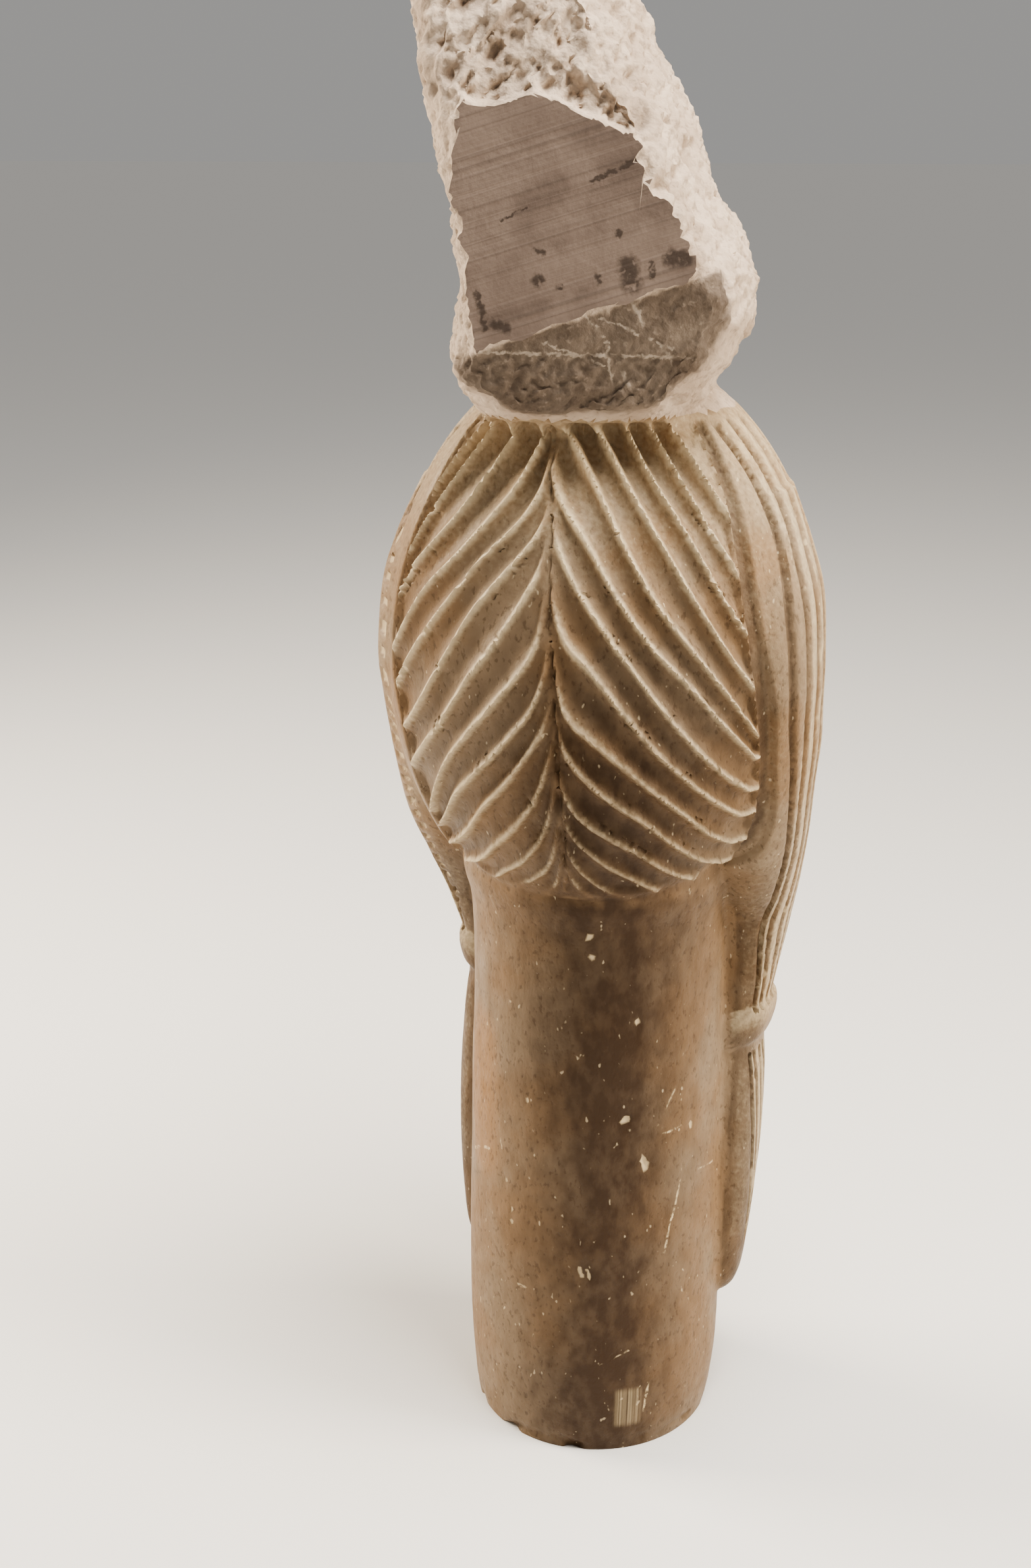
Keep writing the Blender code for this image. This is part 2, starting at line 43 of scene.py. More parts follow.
# colours are given as sRGB hex and turned to linear once, here
def linear(hexColour):
    channels = [int(hexColour[i : i + 2], 16) / 255 for i in (1, 3, 5)]
    bent = [c / 12.92 if c <= 0.04045 else ((c + 0.055) / 1.055) ** 2.4 for c in channels]
    return (*bent, 1.0)


# one node with its settings and its inputs; an input is a value or (node, output)
def addNode(tree, kind, settings, inputs):
    node = tree.nodes.new(kind)
    for name, value in settings.items():
        setattr(node, name, value)
    for key, value in inputs.items():
        if isinstance(value, tuple) and isinstance(value[0], bpy.types.Node):
            tree.links.new(value[0].outputs[value[1]], node.inputs[key])
        else:
            node.inputs[key].default_value = value
    return node


neckForm = {"height": 0.191, "radius": 0.0395}
headForm = {"width": 0.128, "depth": 0.119, "height": 0.174}
faceForm = {"width": 0.083, "rise": 0.76, "middle": -0.20}
crownForm = {"height": 0.135, "width": 0.074, "depth": 0.096, "turn": 17.0, "sawCut": 0.0540}
bundleForm = {"bandWidth": 0.012, "bandThickness": 0.0022, "tailLength": 0.0855, "drop": 0.0135}
meshing = {"voxel": 0.0008, "triangles": 192000, "ringSides": 96}

halfWidth = headForm["width"] / 2
halfDepth = headForm["depth"] / 2
halfHeight = headForm["height"] / 2
headZ = neckForm["height"] + 0.71 * halfHeight
crownZ = headZ + 0.83 * halfHeight
crownTurn = math.radians(crownForm["turn"])
faceA = faceForm["width"] / 2
faceH = faceForm["rise"] * halfHeight
faceZ = headZ + faceForm["middle"] * halfHeight


# Catmull-Rom rows between the given rows, so a loft has round sides
def smoothRows(rows, steps):
    rows = np.array(rows, float)
    padded = np.vstack([2 * rows[0] - rows[1], rows, 2 * rows[-1] - rows[-2]])
    made = []
    for i in range(len(rows) - 1):
        p0, p1, p2, p3 = padded[i : i + 4]
        for t in np.arange(steps) / steps:
            straight = 2 * p1 + (p2 - p0) * t
            bend = (2 * p0 - 5 * p1 + 4 * p2 - p3) * t**2
            twist = (3 * p1 - p0 - 3 * p2 + p3) * t**3
            made.append(0.5 * (straight + bend + twist))
    made.append(rows[-1])
    return made


# a smooth curve through unevenly spaced points
def curveThrough(value, knots, heights):
    knots, heights = np.array(knots, float), np.array(heights, float)
    slopes = np.gradient(heights, knots)
    value = np.clip(value, knots[0], knots[-1])
    i = np.clip(np.searchsorted(knots, value) - 1, 0, len(knots) - 2)
    span = knots[i + 1] - knots[i]
    t = (value - knots[i]) / span
    low = heights[i] * (1 + 2 * t) * (1 - t) ** 2 + slopes[i] * span * t * (1 - t) ** 2
    high = heights[i + 1] * (3 - 2 * t) * t**2 - slopes[i + 1] * span * (1 - t) * t**2
    return low + high


# a closed form through level rings: height, centre x, centre y, half x, half y
def loft(bm, rows, power=2.0, turn=0.0, skew=0.0):
    made = bmesh.ops.create_circle(bm, segments=meshing["ringSides"], radius=1.0)
    ring = made["verts"]
    directions = [Vector(v.co) for v in ring]
    bm.faces.new(ring)
    for number, row in enumerate(smoothRows(rows, 5)):
        if number:
            edges = [bm.edges.get((a, b)) for a, b in zip(ring, ring[1:] + ring[:1])]
            new = bmesh.ops.extrude_edge_only(bm, edges=edges)["geom"]
            fresh = {g for g in new if isinstance(g, bmesh.types.BMVert)}
            ring = [
                next(e.other_vert(v) for e in v.link_edges if e.other_vert(v) in fresh)
                for v in ring
            ]
        height, centreX, centreY, reachX, reachY = row
        for v, d in zip(ring, directions):
            full = (abs(d.x) ** power + abs(d.y) ** power) ** (-1 / power)
            along = reachY * d.y * full
            x, y = centreX + reachX * d.x * full + skew * along, centreY + along
            v.co = (
                x * math.cos(turn) - y * math.sin(turn),
                x * math.sin(turn) + y * math.cos(turn),
                height,
            )
    bm.faces.new(ring)


# a long column that starts below the floor line, where it is sawn off later
def neckMass(bm):
    r, h = neckForm["radius"], neckForm["height"]
    rows = [
        (-0.012, 0, 0, 0.90 * r, 0.90 * r), (0.0, 0, 0, 0.955 * r, 0.955 * r),
        (0.05 * h, 0, 0, 0.99 * r, 0.985 * r), (0.16 * h, 0, 0, 1.025 * r, 1.01 * r),
        (0.45 * h, 0, 0, 1.015 * r, 1.0 * r), (0.78 * h, 0, 0, 0.985 * r, 0.97 * r),
        (0.92 * h, 0, 0, 0.99 * r, 0.98 * r), (1.0 * h, 0, 0, 1.06 * r, 1.04 * r),
        (1.25 * h, 0, 0, 1.06 * r, 1.04 * r),
    ]
    loft(bm, rows)


def hairMass(bm):
    made = bmesh.ops.create_uvsphere(bm, u_segments=144, v_segments=108, radius=1.0)
    for v in made["verts"]:
        x, y, z = v.co.x * halfWidth, v.co.y * halfDepth, headZ + v.co.z * halfHeight
        hem = neckForm["height"] - 0.001 + 0.010 * abs(x / (0.70 * halfWidth)) ** 3
        hem += 0.030 * max(0.0, -y / halfDepth) ** 2
        v.co = (x, y, max(z, hem))


def faceMass(bm):
    back = -0.25 * halfDepth
    shape = [
        (-0.985, 0.20, 0.25), (-0.94, 0.36, 0.61), (-0.83, 0.55, 0.735), (-0.60, 0.745, 0.78),
        (-0.30, 0.90, 0.795), (0.06, 0.995, 0.82), (0.40, 1.0, 0.825), (0.70, 0.95, 0.78),
        (0.95, 0.80, 0.67), (1.12, 0.55, 0.51),
    ]
    rows = [(faceZ + s * faceH, 0, back, w * faceA, d * halfDepth) for s, w, d in shape]
    loft(bm, rows, power=2.15)


# the band on the figure's right, -X, sits lower
def tieHeight(side):
    return neckForm["height"] - 0.046 - (bundleForm["drop"] if side < 0 else 0.0)


# both tails end at one height
def tailLength(side):
    return bundleForm["tailLength"] + (bundleForm["drop"] if side > 0 else 0.0)


def bundleMass(bm, side):
    tie = tieHeight(side)
    tail = tie - bundleForm["bandWidth"] / 2
    a, b, r = halfWidth, halfDepth, neckForm["radius"]
    hanging = [
        (0.58, 0.55, -0.00, 0.28, 0.34), (0.40, 0.655, 0.05, 0.275, 0.40),
        (0.23, 0.72, 0.06, 0.275, 0.44), (0.0, 0.75, 0.07, 0.265, 0.46),
        (-0.14, 0.755, 0.04, 0.255, 0.45), (-0.28, 0.755, -0.01, 0.25, 0.44),
        (-0.42, 0.745, -0.03, 0.24, 0.41), (-0.61, 0.735, -0.09, 0.225, 0.37),
        (-0.80, 0.71, -0.21, 0.205, 0.32), (-1.00, 0.67, -0.32, 0.187, 0.27),
    ]
    rows = [(headZ + s * halfHeight, x * a, y * b, u * a, v * b) for s, x, y, u, v in hanging]
    lower = 0.1 * (bundleForm["drop"] if side < 0 else 0.0)
    rows.append((tie - lower, 0.95 * r, -0.33 * b, 0.172 * a, 0.245 * b))
    for share, x, y, u, v in (
        (0.12, 0.965, -0.29, 0.176, 0.24), (0.35, 0.99, -0.235, 0.170, 0.22),
        (0.60, 1.005, -0.18, 0.148, 0.19), (0.85, 1.005, -0.15, 0.118, 0.15),
        (0.95, 0.99, -0.15, 0.098, 0.12), (1.0, 0.97, -0.16, 0.065, 0.08),
    ):
        rows.append((tail - share * tailLength(side), x * r, y * b, u * a, v * b))
    loft(bm, [(z, side * x, y, u, v) for z, x, y, u, v in rows], power=2.6)


# a smooth ring, higher on its outer side
def bandMass(bm, side):
    tie, width = tieHeight(side), bundleForm["bandWidth"]
    centreX, centreY = side * 0.95 * neckForm["radius"], -0.33 * halfDepth
    u = 0.172 * halfWidth + bundleForm["bandThickness"]
    v = 0.245 * halfDepth + bundleForm["bandThickness"]
    start = len(bm.verts)
    rows = [
        (tie + rise * width, centreX, centreY, wide * u, deep * v)
        for rise, wide, deep in (
            (-0.50, 0.86, 0.89), (-0.34, 0.98, 0.99), (0.10, 1.07, 1.06), (0.40, 1.04, 1.03),
            (0.50, 0.95, 0.96),
        )
    ]
    loft(bm, rows, power=2.6)
    bm.verts.ensure_lookup_table()
    for vert in bm.verts[start:]:
        vert.co.z += 0.22 * (vert.co.x - centreX) * side


def crownMass(bm):
    w, d, h = crownForm["width"] / 2, crownForm["depth"] / 2, crownForm["height"]
    rows = [
        (-0.06, 0.05, 0.02, 0.68, 0.64), (0.01, 0.10, 0.05, 0.86, 0.86),
        (0.06, 0.12, 0.08, 0.97, 1.04), (0.14, 0.04, 0.10, 1.06, 1.15),
        (0.26, 0.00, 0.12, 1.04, 1.20), (0.40, 0.16, 0.12, 0.93, 1.20),
        (0.52, 0.30, 0.10, 0.90, 1.16), (0.65, 0.48, 0.06, 0.82, 1.06),
        (0.78, 0.60, 0.03, 0.74, 0.96), (0.90, 0.66, 0.00, 0.60, 0.76),
        (1.0, 0.68, 0.00, 0.34, 0.42),
    ]
    placed = [(crownZ + s * h, x * w, y * d, u * w, v * d) for s, x, y, u, v in rows]
    loft(bm, placed, power=3.0, turn=crownTurn, skew=0.12)


# all masses in one mesh, merged into one skin by a voxel remesh and eased at the creases
def mergedMasses():
    bm = bmesh.new()
    neckMass(bm)
    hairMass(bm)
    faceMass(bm)
    crownMass(bm)
    for side in (-1, 1):
        bundleMass(bm, side)
        bandMass(bm, side)
    bmesh.ops.recalc_face_normals(bm, faces=bm.faces)
    mesh = bpy.data.meshes.new("masses")
    bm.to_mesh(mesh)
    bm.free()
    holder = bpy.data.objects.new("masses", mesh)
    bpy.context.scene.collection.objects.link(holder)
    remesh = holder.modifiers.new("merge", "REMESH")
    remesh.mode = "VOXEL"
    remesh.voxel_size = meshing["voxel"]
    ease = holder.modifiers.new("ease", "SMOOTH")
    ease.factor = 0.5
    ease.iterations = 5
    graph = bpy.context.evaluated_depsgraph_get()
    skin = bpy.data.meshes.new_from_object(holder.evaluated_get(graph))
    bpy.data.objects.remove(holder, do_unlink=True)
    bpy.data.meshes.remove(mesh)
    return skin


strandForm = {"cord": 0.0013, "flute": 0.0018, "parting": 0.0014, "groove": 0.0020}
# grooves of the bundle at the figure's right, in degrees round it at these heights in mm
lockForm = {
    "depth": 0.0018, "notch": 0.0012,
    "heights": (140, 196, 218, 229, 240, 250, 262, 277, 286, 294, 308),
    "firstGroove": (56, 55.5, 54, 52.5, 50, 49, 49, 50, 52.5, 55, 56),
    "secondGroove": (62, 61, 60.5, 60, 59.5, 59, 58.6, 59, 59.8, 62.4, 65.5),
}


# 0 below low, 1 above high, with a smooth rise
def rise(low, high, value):
    t = np.clip((value - low) / (high - low), 0, 1)
    return t * t * (3 - 2 * t)


def bump(x, z, atX, atZ, wide, high):
    return np.exp(-(((x - atX) / wide) ** 2) - ((z - atZ) / high) ** 2)


# smooth noise at many points, of the given grain size in metres
def grainNoise(points, size, shift, keep=None):
    found = np.zeros(len(points))
    chosen = np.arange(len(points)) if keep is None else np.nonzero(keep)[0]
    moved = points[chosen] / size + np.array(shift)
    found[chosen] = [noise.noise(p) for p in moved]
    return found


# the strands are given in mm above the foot, on a head 174 mm high with its middle 252.8 mm up
def measuredLevel(height):
    return (np.array(height, float) - 252.8) / 87.0


# the parting wanders from the figure's left at the crown to its right at the hem
partingForm = {
    "height": (190, 220, 240, 260, 270, 280, 290, 300, 311, 325),
    "turn": (5.5, 5.3, 4.8, 3.8, 2.8, 1.7, 1.1, 0.3, -2.5, -5.0),
}


def partingTurn(level):
    return np.interp(level, measuredLevel(partingForm["height"]), partingForm["turn"])


# how high each strand lies at these turns away from the parting, the topmost strand first;
# the two sides are combed differently
comb = {
    "away": (0, 1, 2.5, 5, 10, 20, 30, 40, 50, 60),
    "right": (
        (395, 394, 392, 388, 380, 362, 345, 328, 309, 291),
        (378, 376, 374, 370, 363, 347, 330, 312, 293, 276),
        (361, 359, 357, 353, 346, 330, 313, 297, 278, 262),
        (342, 340, 337, 333, 327, 314, 299, 281, 264, 251),
        (330, 328, 325, 321, 315, 298, 280, 266, 253, 240),
        (311, 309, 306, 302, 296, 281, 267, 256, 244, 234),
        (303, 298, 294, 289, 281, 268, 254, 241, 231, 224),
        (299, 284, 275, 269, 264, 253, 240, 230, 222, 216),
        (277, 262, 253, 248, 244, 237, 228, 220, 212, 207),
        (258, 247, 240, 236, 231, 224, 217, 209, 203, 200),
        (242, 231, 225, 221, 217, 212, 206, 200, 196, 195),
        (230, 221, 216, 212, 208, 202, 197, 192, 189, 188),
        (220, 211, 206, 202, 198, 193, 189, 185, 182, 181),
        (210, 201, 197, 194, 191, 186, 182, 178, 175, 174),
        (201, 193, 189, 186, 183, 178, 174, 170, 167, 166),
        (192, 185, 181, 178, 175, 170, 166, 162, 159, 158),
    ),
    "left": (
        (398, 397, 396, 394, 388, 371, 350, 325, 303, 285),
        (380, 378, 376, 372, 365, 350, 330, 308, 291, 272),
        (351, 349, 347, 343, 335, 320, 302, 290, 280, 266),
        (331, 329, 326, 320, 311, 298, 287, 277, 264, 252),
        (312, 309, 307, 304, 298, 288, 275, 263, 251, 240),
        (304, 301, 298, 294, 288, 275, 259, 245, 236, 230),
        (297, 291, 287, 282, 273, 257, 243, 233, 225, 217),
        (284, 277, 270, 264, 256, 242, 231, 219, 209, 203),
        (270, 263, 257, 250, 242, 229, 220, 210, 204, 199),
        (256, 250, 245, 240, 231, 218, 208, 202, 198, 195),
        (246, 239, 233, 225, 216, 205, 198, 195, 192, 189),
        (233, 226, 219, 212, 204, 196, 191, 188, 185, 183),
        (220, 214, 207, 201, 196, 190, 185, 181, 178, 176),
        (210, 204, 198, 193, 188, 183, 178, 174, 171, 169),
        (201, 195, 190, 185, 181, 176, 171, 167, 164, 162),
        (192, 187, 182, 177, 173, 168, 163, 159, 156, 154),
    ),
}


# which strand a point of the combed back lies by, and how far it is from the parting
def strandNumber(turn, level):
    middle = partingTurn(level)
    past = turn > middle
    near = np.abs(turn - middle) * np.where(past, 20 / (20 - middle), 20 / (20 + middle))
    away = np.where(near < 20, near, np.abs(turn))
    number = np.zeros(len(turn))
    for side, rows in ((past, comb["right"]), (~past, comb["left"])):
        heights = [curveThrough(away[side], comb["away"], measuredLevel(row)) for row in rows]
        pastTop = np.clip((level[side] - heights[0]) / (heights[0] - heights[1]), 0, 0.3)
        count = -pastTop
        for upper, lower in zip(heights, heights[1:]):
            count += np.clip((upper - level[side]) / (upper - lower), 0, 1)
        number[side] = count
    return number, away


# a rounded cord on each strand and a gouged flute between two
def strandProfile(number, away):
    off = np.abs(number - np.round(number))
    half = 0.15 + 0.08 * (1 - rise(1.0, 8.0, away))
    cord = np.exp(-((off / half) ** 1.8))
    flute = (1 - (1 - 2 * off) ** 2) * np.where(number < 0, 0.3, 1.0)
    return cord, flute


def panelEdge(turn, level):
    right = curveThrough(
        level, (-0.62, -0.47, -0.27, 0.0, 0.3, 0.6), (67.0, 66.5, 62.5, 57.5, 54.5, 55.5)
    )
    left = curveThrough(
        level, (-0.60, -0.40, -0.20, 0.0, 0.3, 0.6), (50.0, 53.0, 52.0, 56.0, 54.5, 50.0)
    )
    return np.where(turn > 0, right, left)


# degrees round the core of a side bundle: 0 behind, 90 outside, 180 in front
def lockAngle(x, y, z):
    level = (z - headZ) / halfHeight
    reach = curveThrough(level, (-1.2, 0.0, 0.80), (0.40, 0.59, 0.60)) * halfWidth
    outside = curveThrough(
        level, (-1.2, -0.70, -0.1, 0.35, 0.60, 0.80), (0.86, 0.95, 1.0, 0.94, 0.81, 0.62)
    )
    coreX = np.maximum(outside * halfWidth - reach, 0)
    coreY = curveThrough(level, (-1.2, -0.3, 0.3), (-0.36, -0.14, -0.12)) * halfDepth
    return np.degrees(np.arctan2(np.abs(x) - coreX, y - coreY)) % 360


# 1 on the edge of the face, less on skin, more on hair
def hairlineAt(x, z):
    return np.sqrt((x / (0.985 * faceA)) ** 2 + ((z - faceZ) / (0.99 * faceH)) ** 2)


# 0 on the skin of the face and under the chin, 1 on hair
def hairSide(x, y, z):
    front = y < -0.30 * halfDepth
    rim = rise(1.0, 1.05, hairlineAt(x, z))
    underChin = (z < faceZ - 0.55 * faceH) & (np.abs(x) < 0.56 * halfWidth)
    return np.where(front, np.where(underChin, 0, rim), 1)


# where each kind of carving applies, for any points on the bust
def hairMaps(points):
    x, y, z = points.T
    turn = np.degrees(np.arctan2(-x, y))
    level = (z - headZ) / halfHeight
    pastEdge = np.abs(turn) - panelEdge(turn, level)
    fromAxis = np.hypot(x, y)
    radius = neckForm["radius"]
    belowCrown = 1 - rise(crownZ - 0.004, crownZ - 0.001, z)
    onCap = rise(1.07 * radius, 1.13 * radius, fromAxis) * rise(-0.735, -0.70, level)
    onCap = np.maximum(onCap, rise(0.4, 0.5, level)) * belowCrown
    number, away = strandNumber(turn, level)
    crest, flute = strandProfile(number, away)
    shallow = 0.50 * (1 - rise(-0.66, -0.40, level)) * (1 - rise(14, 34, away))
    inside = 1 - rise(-0.5, 0.8, pastEdge)
    seamEnd = np.where(x < 0, 6.0, 2.8)
    seam = rise(0.4, 1.4, pastEdge) * (1 - rise(seamEnd - 1.6, seamEnd, pastEdge))
    seam *= rise(-0.75, -0.6, level)
    low = np.where(x < 0, tieHeight(-1), tieHeight(1)) - 0.9 * bundleForm["tailLength"]
    angle = lockAngle(x, y, z)
    isLock = rise(34.0, 37.0, angle) * rise(low, low + 0.01, z)
    clearOfNeck = rise(1.10 * radius, 1.14 * radius, fromAxis)
    onBundle = clearOfNeck * (np.abs(x) > 0.62 * halfWidth)
    lockArea = np.where(level > -0.6, np.maximum(onCap, onBundle), onBundle)
    lockArea = lockArea * isLock * belowCrown * rise(3.0, 5.0, pastEdge) * hairSide(x, y, z)
    for side in (-1, 1):
        nearBand = (np.abs(z - tieHeight(side)) < 0.65 * bundleForm["bandWidth"]) & (x * side > 0)
        lockArea = np.where(nearBand, 0, lockArea)
        onCap = np.where(nearBand, 0, onCap)
    return {
        "turn": turn, "level": level, "away": away, "crest": crest, "flute": flute,
        "combed": inside * onCap, "seam": seam * onCap, "angle": angle, "locks": lockArea,
        "shallow": shallow,
    }


# chips along the worn ridges, more of them towards the strands' ends
def chipping(points, maps):
    crest, away = maps["crest"] * (maps["combed"] > 0.5), maps["away"]
    keep = (crest > 0.25) & (away > 3)
    coarse = grainNoise(points, 0.0085, (4.1, 2.2, 8.3), keep)
    fine = grainNoise(points, 0.0016, (1.7, 9.4, 3.6), keep)
    often = 0.44 - 0.14 * rise(10, 50, away)
    return keep * rise(often, often + 0.22, coarse + 0.75 * fine)


# the rearmost lock of a bundle is broad and plain, and the left bundle is notched along the
# edge that shows behind
def lockPlaces(maps, x):
    heights = measuredLevel(lockForm["heights"])
    first = np.where(x < 0, curveThrough(maps["level"], heights, lockForm["firstGroove"]), 57.0)
    second = np.where(x < 0, curveThrough(maps["level"], heights, lockForm["secondGroove"]), 69.0)
    angle = maps["angle"]
    number = np.where(angle < first, 0.5 - (first - angle) / 12, 0.5)
    number += np.clip((angle - first) / (second - first), 0, 1)
    number += np.clip((angle - second) / 12, 0, None)
    number = np.maximum(number, -0.1)
    off = np.abs(number - np.round(number))
    notchTurn = np.interp(
        maps["level"], (-1.05, -0.82, -0.65, -0.5, -0.3, -0.05, 0.1, 0.2, 0.3, 0.4, 0.55),
        (57, 50, 44, 43, 45, 44, 45, 47, 49, 52, 57),
    )
    notchArea = np.exp(-(((angle - notchTurn) / 3.2) ** 4)) * (x > 0) * maps["locks"]
    return off, notchArea * rise(-1.12, -1.05, maps["level"])


# the notches are 4.2 mm apart low down and 7 mm higher up
def notchStep(z, points, notchArea):
    count = np.interp(z, (0.15, 0.235, 0.31), (0, 20.2, 31))
    return (count + 0.7 * grainNoise(points, 0.011, (2.9, 6.1, 0.8), notchArea > 0.05)) % 1


def notchesAt(z, points, notchArea):
    return rise(0.40, 0.60, notchStep(z, points, notchArea)) * notchArea


def carveHair(points, normals):
    maps = hairMaps(points)
    x, y, z = points.T
    chips = chipping(points, maps)
    partingLine = 1 - rise(0.2, 1.3, maps["away"])
    deeper = 1 + 0.7 * rise(0.50, 0.78, maps["level"])
    wobble = 1 + 0.25 * grainNoise(points, 0.016, (7.7, 1.2, 5.8), maps["combed"] > 0)
    relief = strandForm["cord"] * (maps["crest"] * wobble - 0.25) * deeper
    relief -= strandForm["flute"] * maps["flute"] * deeper * rise(0.5, 5.0, maps["away"])
    relief -= strandForm["parting"] * partingLine + 0.0009 * chips
    relief *= maps["combed"] * (1 - maps["shallow"])
    relief -= strandForm["groove"] * maps["seam"]

    # the long locks of the side bundles, with the outer edge of the left one notched
    off, notchArea = lockPlaces(maps, x)
    browParting = (y < 0) * (1 - rise(0.06, 0.14, np.abs(x) / halfWidth))
    relief -= lockForm["depth"] * rise(0.26, 0.42, off) * maps["locks"] * (1 - browParting)
    frontLine = np.exp(-((x / 0.0012) ** 2)) * browParting * hairSide(x, y, z)
    relief -= lockForm["depth"] * frontLine * (maps["level"] > 0) * (z < crownZ - 0.002)
    relief -= lockForm["notch"] * notchesAt(z, points, notchArea)
    points += normals * relief[:, None]


# how far each feature stands out from the plain egg of the face
def faceRelief(x, z):
    u, v = np.abs(x) / faceA, (z - faceZ) / faceH
    down = np.clip((0.42 - v) / 0.62, 0, 1)
    bridge = (0.0028 + 0.0095 * down) * np.exp(-((u / (0.115 + 0.05 * down)) ** 2))
    nose = bridge * rise(-0.30, -0.20, v) * (1 - rise(0.36, 0.50, v))
    nose += 0.0048 * bump(u, v, 0.17, -0.20, 0.11, 0.065)
    browLine = 0.42 - 0.60 * (u - 0.42) ** 2
    brow = 0.0020 * np.exp(-(((v - browLine) / 0.07) ** 2))
    brow *= rise(0.06, 0.2, u) * (1 - rise(0.72, 0.9, u))
    socket = -0.0046 * bump(u, v, 0.42, 0.22, 0.27, 0.13)
    dome = np.clip(1 - ((u - 0.43) / 0.245) ** 2 - ((v - 0.20) / 0.085) ** 2, 0, 1)
    lid = 0.0052 * dome**0.6
    cheek = 0.0016 * bump(u, v, 0.62, -0.06, 0.25, 0.20)
    upperLip = 0.0044 * bump(u, v, 0.11, -0.475, 0.22, 0.045)
    lowerLip = 0.0048 * bump(u, v, 0.0, -0.585, 0.25, 0.052)
    mouth = -0.0022 * np.exp(-(((v + 0.527 - 0.03 * u) / 0.020) ** 2)) * (1 - rise(0.29, 0.41, u))
    underLip = -0.0018 * bump(u, v, 0.0, -0.70, 0.28, 0.05)
    chin = 0.0026 * bump(u, v, 0.0, -0.83, 0.22, 0.10)
    return nose + brow + socket + lid + cheek + upperLip + lowerLip + mouth + underLip + chin


def carveFace(points, normals):
    x, y, z = points.T
    front = rise(0.15, 0.55, -normals[:, 1]) * (y < -0.2 * halfDepth)
    edge = hairlineAt(x, z)
    skin = (1 - rise(0.90, 1.0, edge)) * front
    points[:, 1] -= faceRelief(x, z) * skin
    raised = 0.0024 * rise(1.0, 1.04, edge) * (1 - rise(1.2, 1.5, edge))
    onHair = (z > faceZ - 0.5 * faceH) & (z < crownZ)
    points += normals * (raised * front * onHair)[:, None]


# distances along and square to the saw cut
def crownAxes(points):
    across = points[:, 0] * math.cos(crownTurn) + points[:, 1] * math.sin(crownTurn)
    behind = -points[:, 0] * math.sin(crownTurn) + points[:, 1] * math.cos(crownTurn)
    return across, behind


def pushIn(points, depth):
    points[:, 0] += depth * math.sin(crownTurn)
    points[:, 1] -= depth * math.cos(crownTurn)


# broken away above the border, sawn flat, and a second cut below a line that slants up to
# the figure's right, with a rougher strip under it
crownCuts = {
    "borderAcross": (-0.027, -0.021, -0.0165, -0.0065, 0.001, 0.013, 0.019, 0.036),
    "borderHeight": (0.372, 0.381, 0.389, 0.3945, 0.3975, 0.4025, 0.4035, 0.4035),
    "lineMiddle": 0.3531, "lineSlope": -0.333, "scratch": 0.3425,
}


# how far a place is above the broken border, below the slanted line and below the scratch
def crownZones(across, z):
    border = np.interp(across, crownCuts["borderAcross"], crownCuts["borderHeight"])
    line = crownCuts["lineMiddle"] + crownCuts["lineSlope"] * (across - 0.0037)
    above = np.clip(z - border, 0, None)
    below = np.clip(line - z, 0, None)
    return above, below, np.clip(crownCuts["scratch"] - z, 0, None)


# broken stone: lumps, crumbs, and torn pits that run down and to the figure's right
def brokenSurface(points, across, behind, z, where):
    lumps = grainNoise(points, 1 / 38, (3.1, 0.4, 7.7), where)
    pits = grainNoise(points, 1 / 110, (9.2, 5.5, 1.3), where)
    slant = np.column_stack([
        (across * 0.85 + z * 0.5) / 0.0030, behind / 0.005, (z * 0.85 - across * 0.5) / 0.0085,
    ])
    torn = grainNoise(slant, 1.0, (5.1, 2.6, 4.4), where)
    flakes = grainNoise(slant * (1.9, 2.2, 1.5), 1.0, (2.7, 8.1, 0.9), where)
    crumb = grainNoise(points, 0.0021, (8.8, 3.3, 6.6), where)
    return lumps, pits, torn, crumb, flakes


def carveCrown(points, normals):
    across, behind = crownAxes(points)
    z = points[:, 2]
    rough = rise(crownZ - 0.001, crownZ + 0.006, z)
    where = rough > 0
    lumps, pits, torn, crumb, flakes = brokenSurface(points, across, behind, z, where)
    tornDepth = rise(0.0, 0.5, torn)
    depth = 0.0036 * lumps + 0.0020 * pits + 0.0008 * crumb - 0.0012 * tornDepth
    depth -= 0.0007 * rise(0.1, 0.5, flakes)
    points += normals * (rough * depth)[:, None]

    across, behind = crownAxes(points)
    above, below, under = crownZones(across + 0.002 * pits, points[:, 2] + 0.0025 * pits)
    below = np.clip(below - 0.0008 * np.abs(pits), 0, None)
    broken = rise(0.0, 0.0015, above)
    limit = crownForm["sawCut"] - 0.0008 - 0.30 * above
    limit -= broken * (0.0010 + 0.0020 * tornDepth + 0.0020 * (pits + 0.4) + 0.0009 * crumb)
    limit -= broken * 0.0013 * rise(0.0, 0.45, flakes)
    limit -= 0.16 * below + rise(0, 0.001, below) * (0.0005 + 0.0003 * crumb + 0.0003 * flakes)
    limit -= rise(0, 0.002, under) * (0.0006 + 0.0014 * (pits + 0.3) + 0.0008 * crumb)
    pushIn(points, np.where(where, np.clip(behind - limit, 0, None), 0))


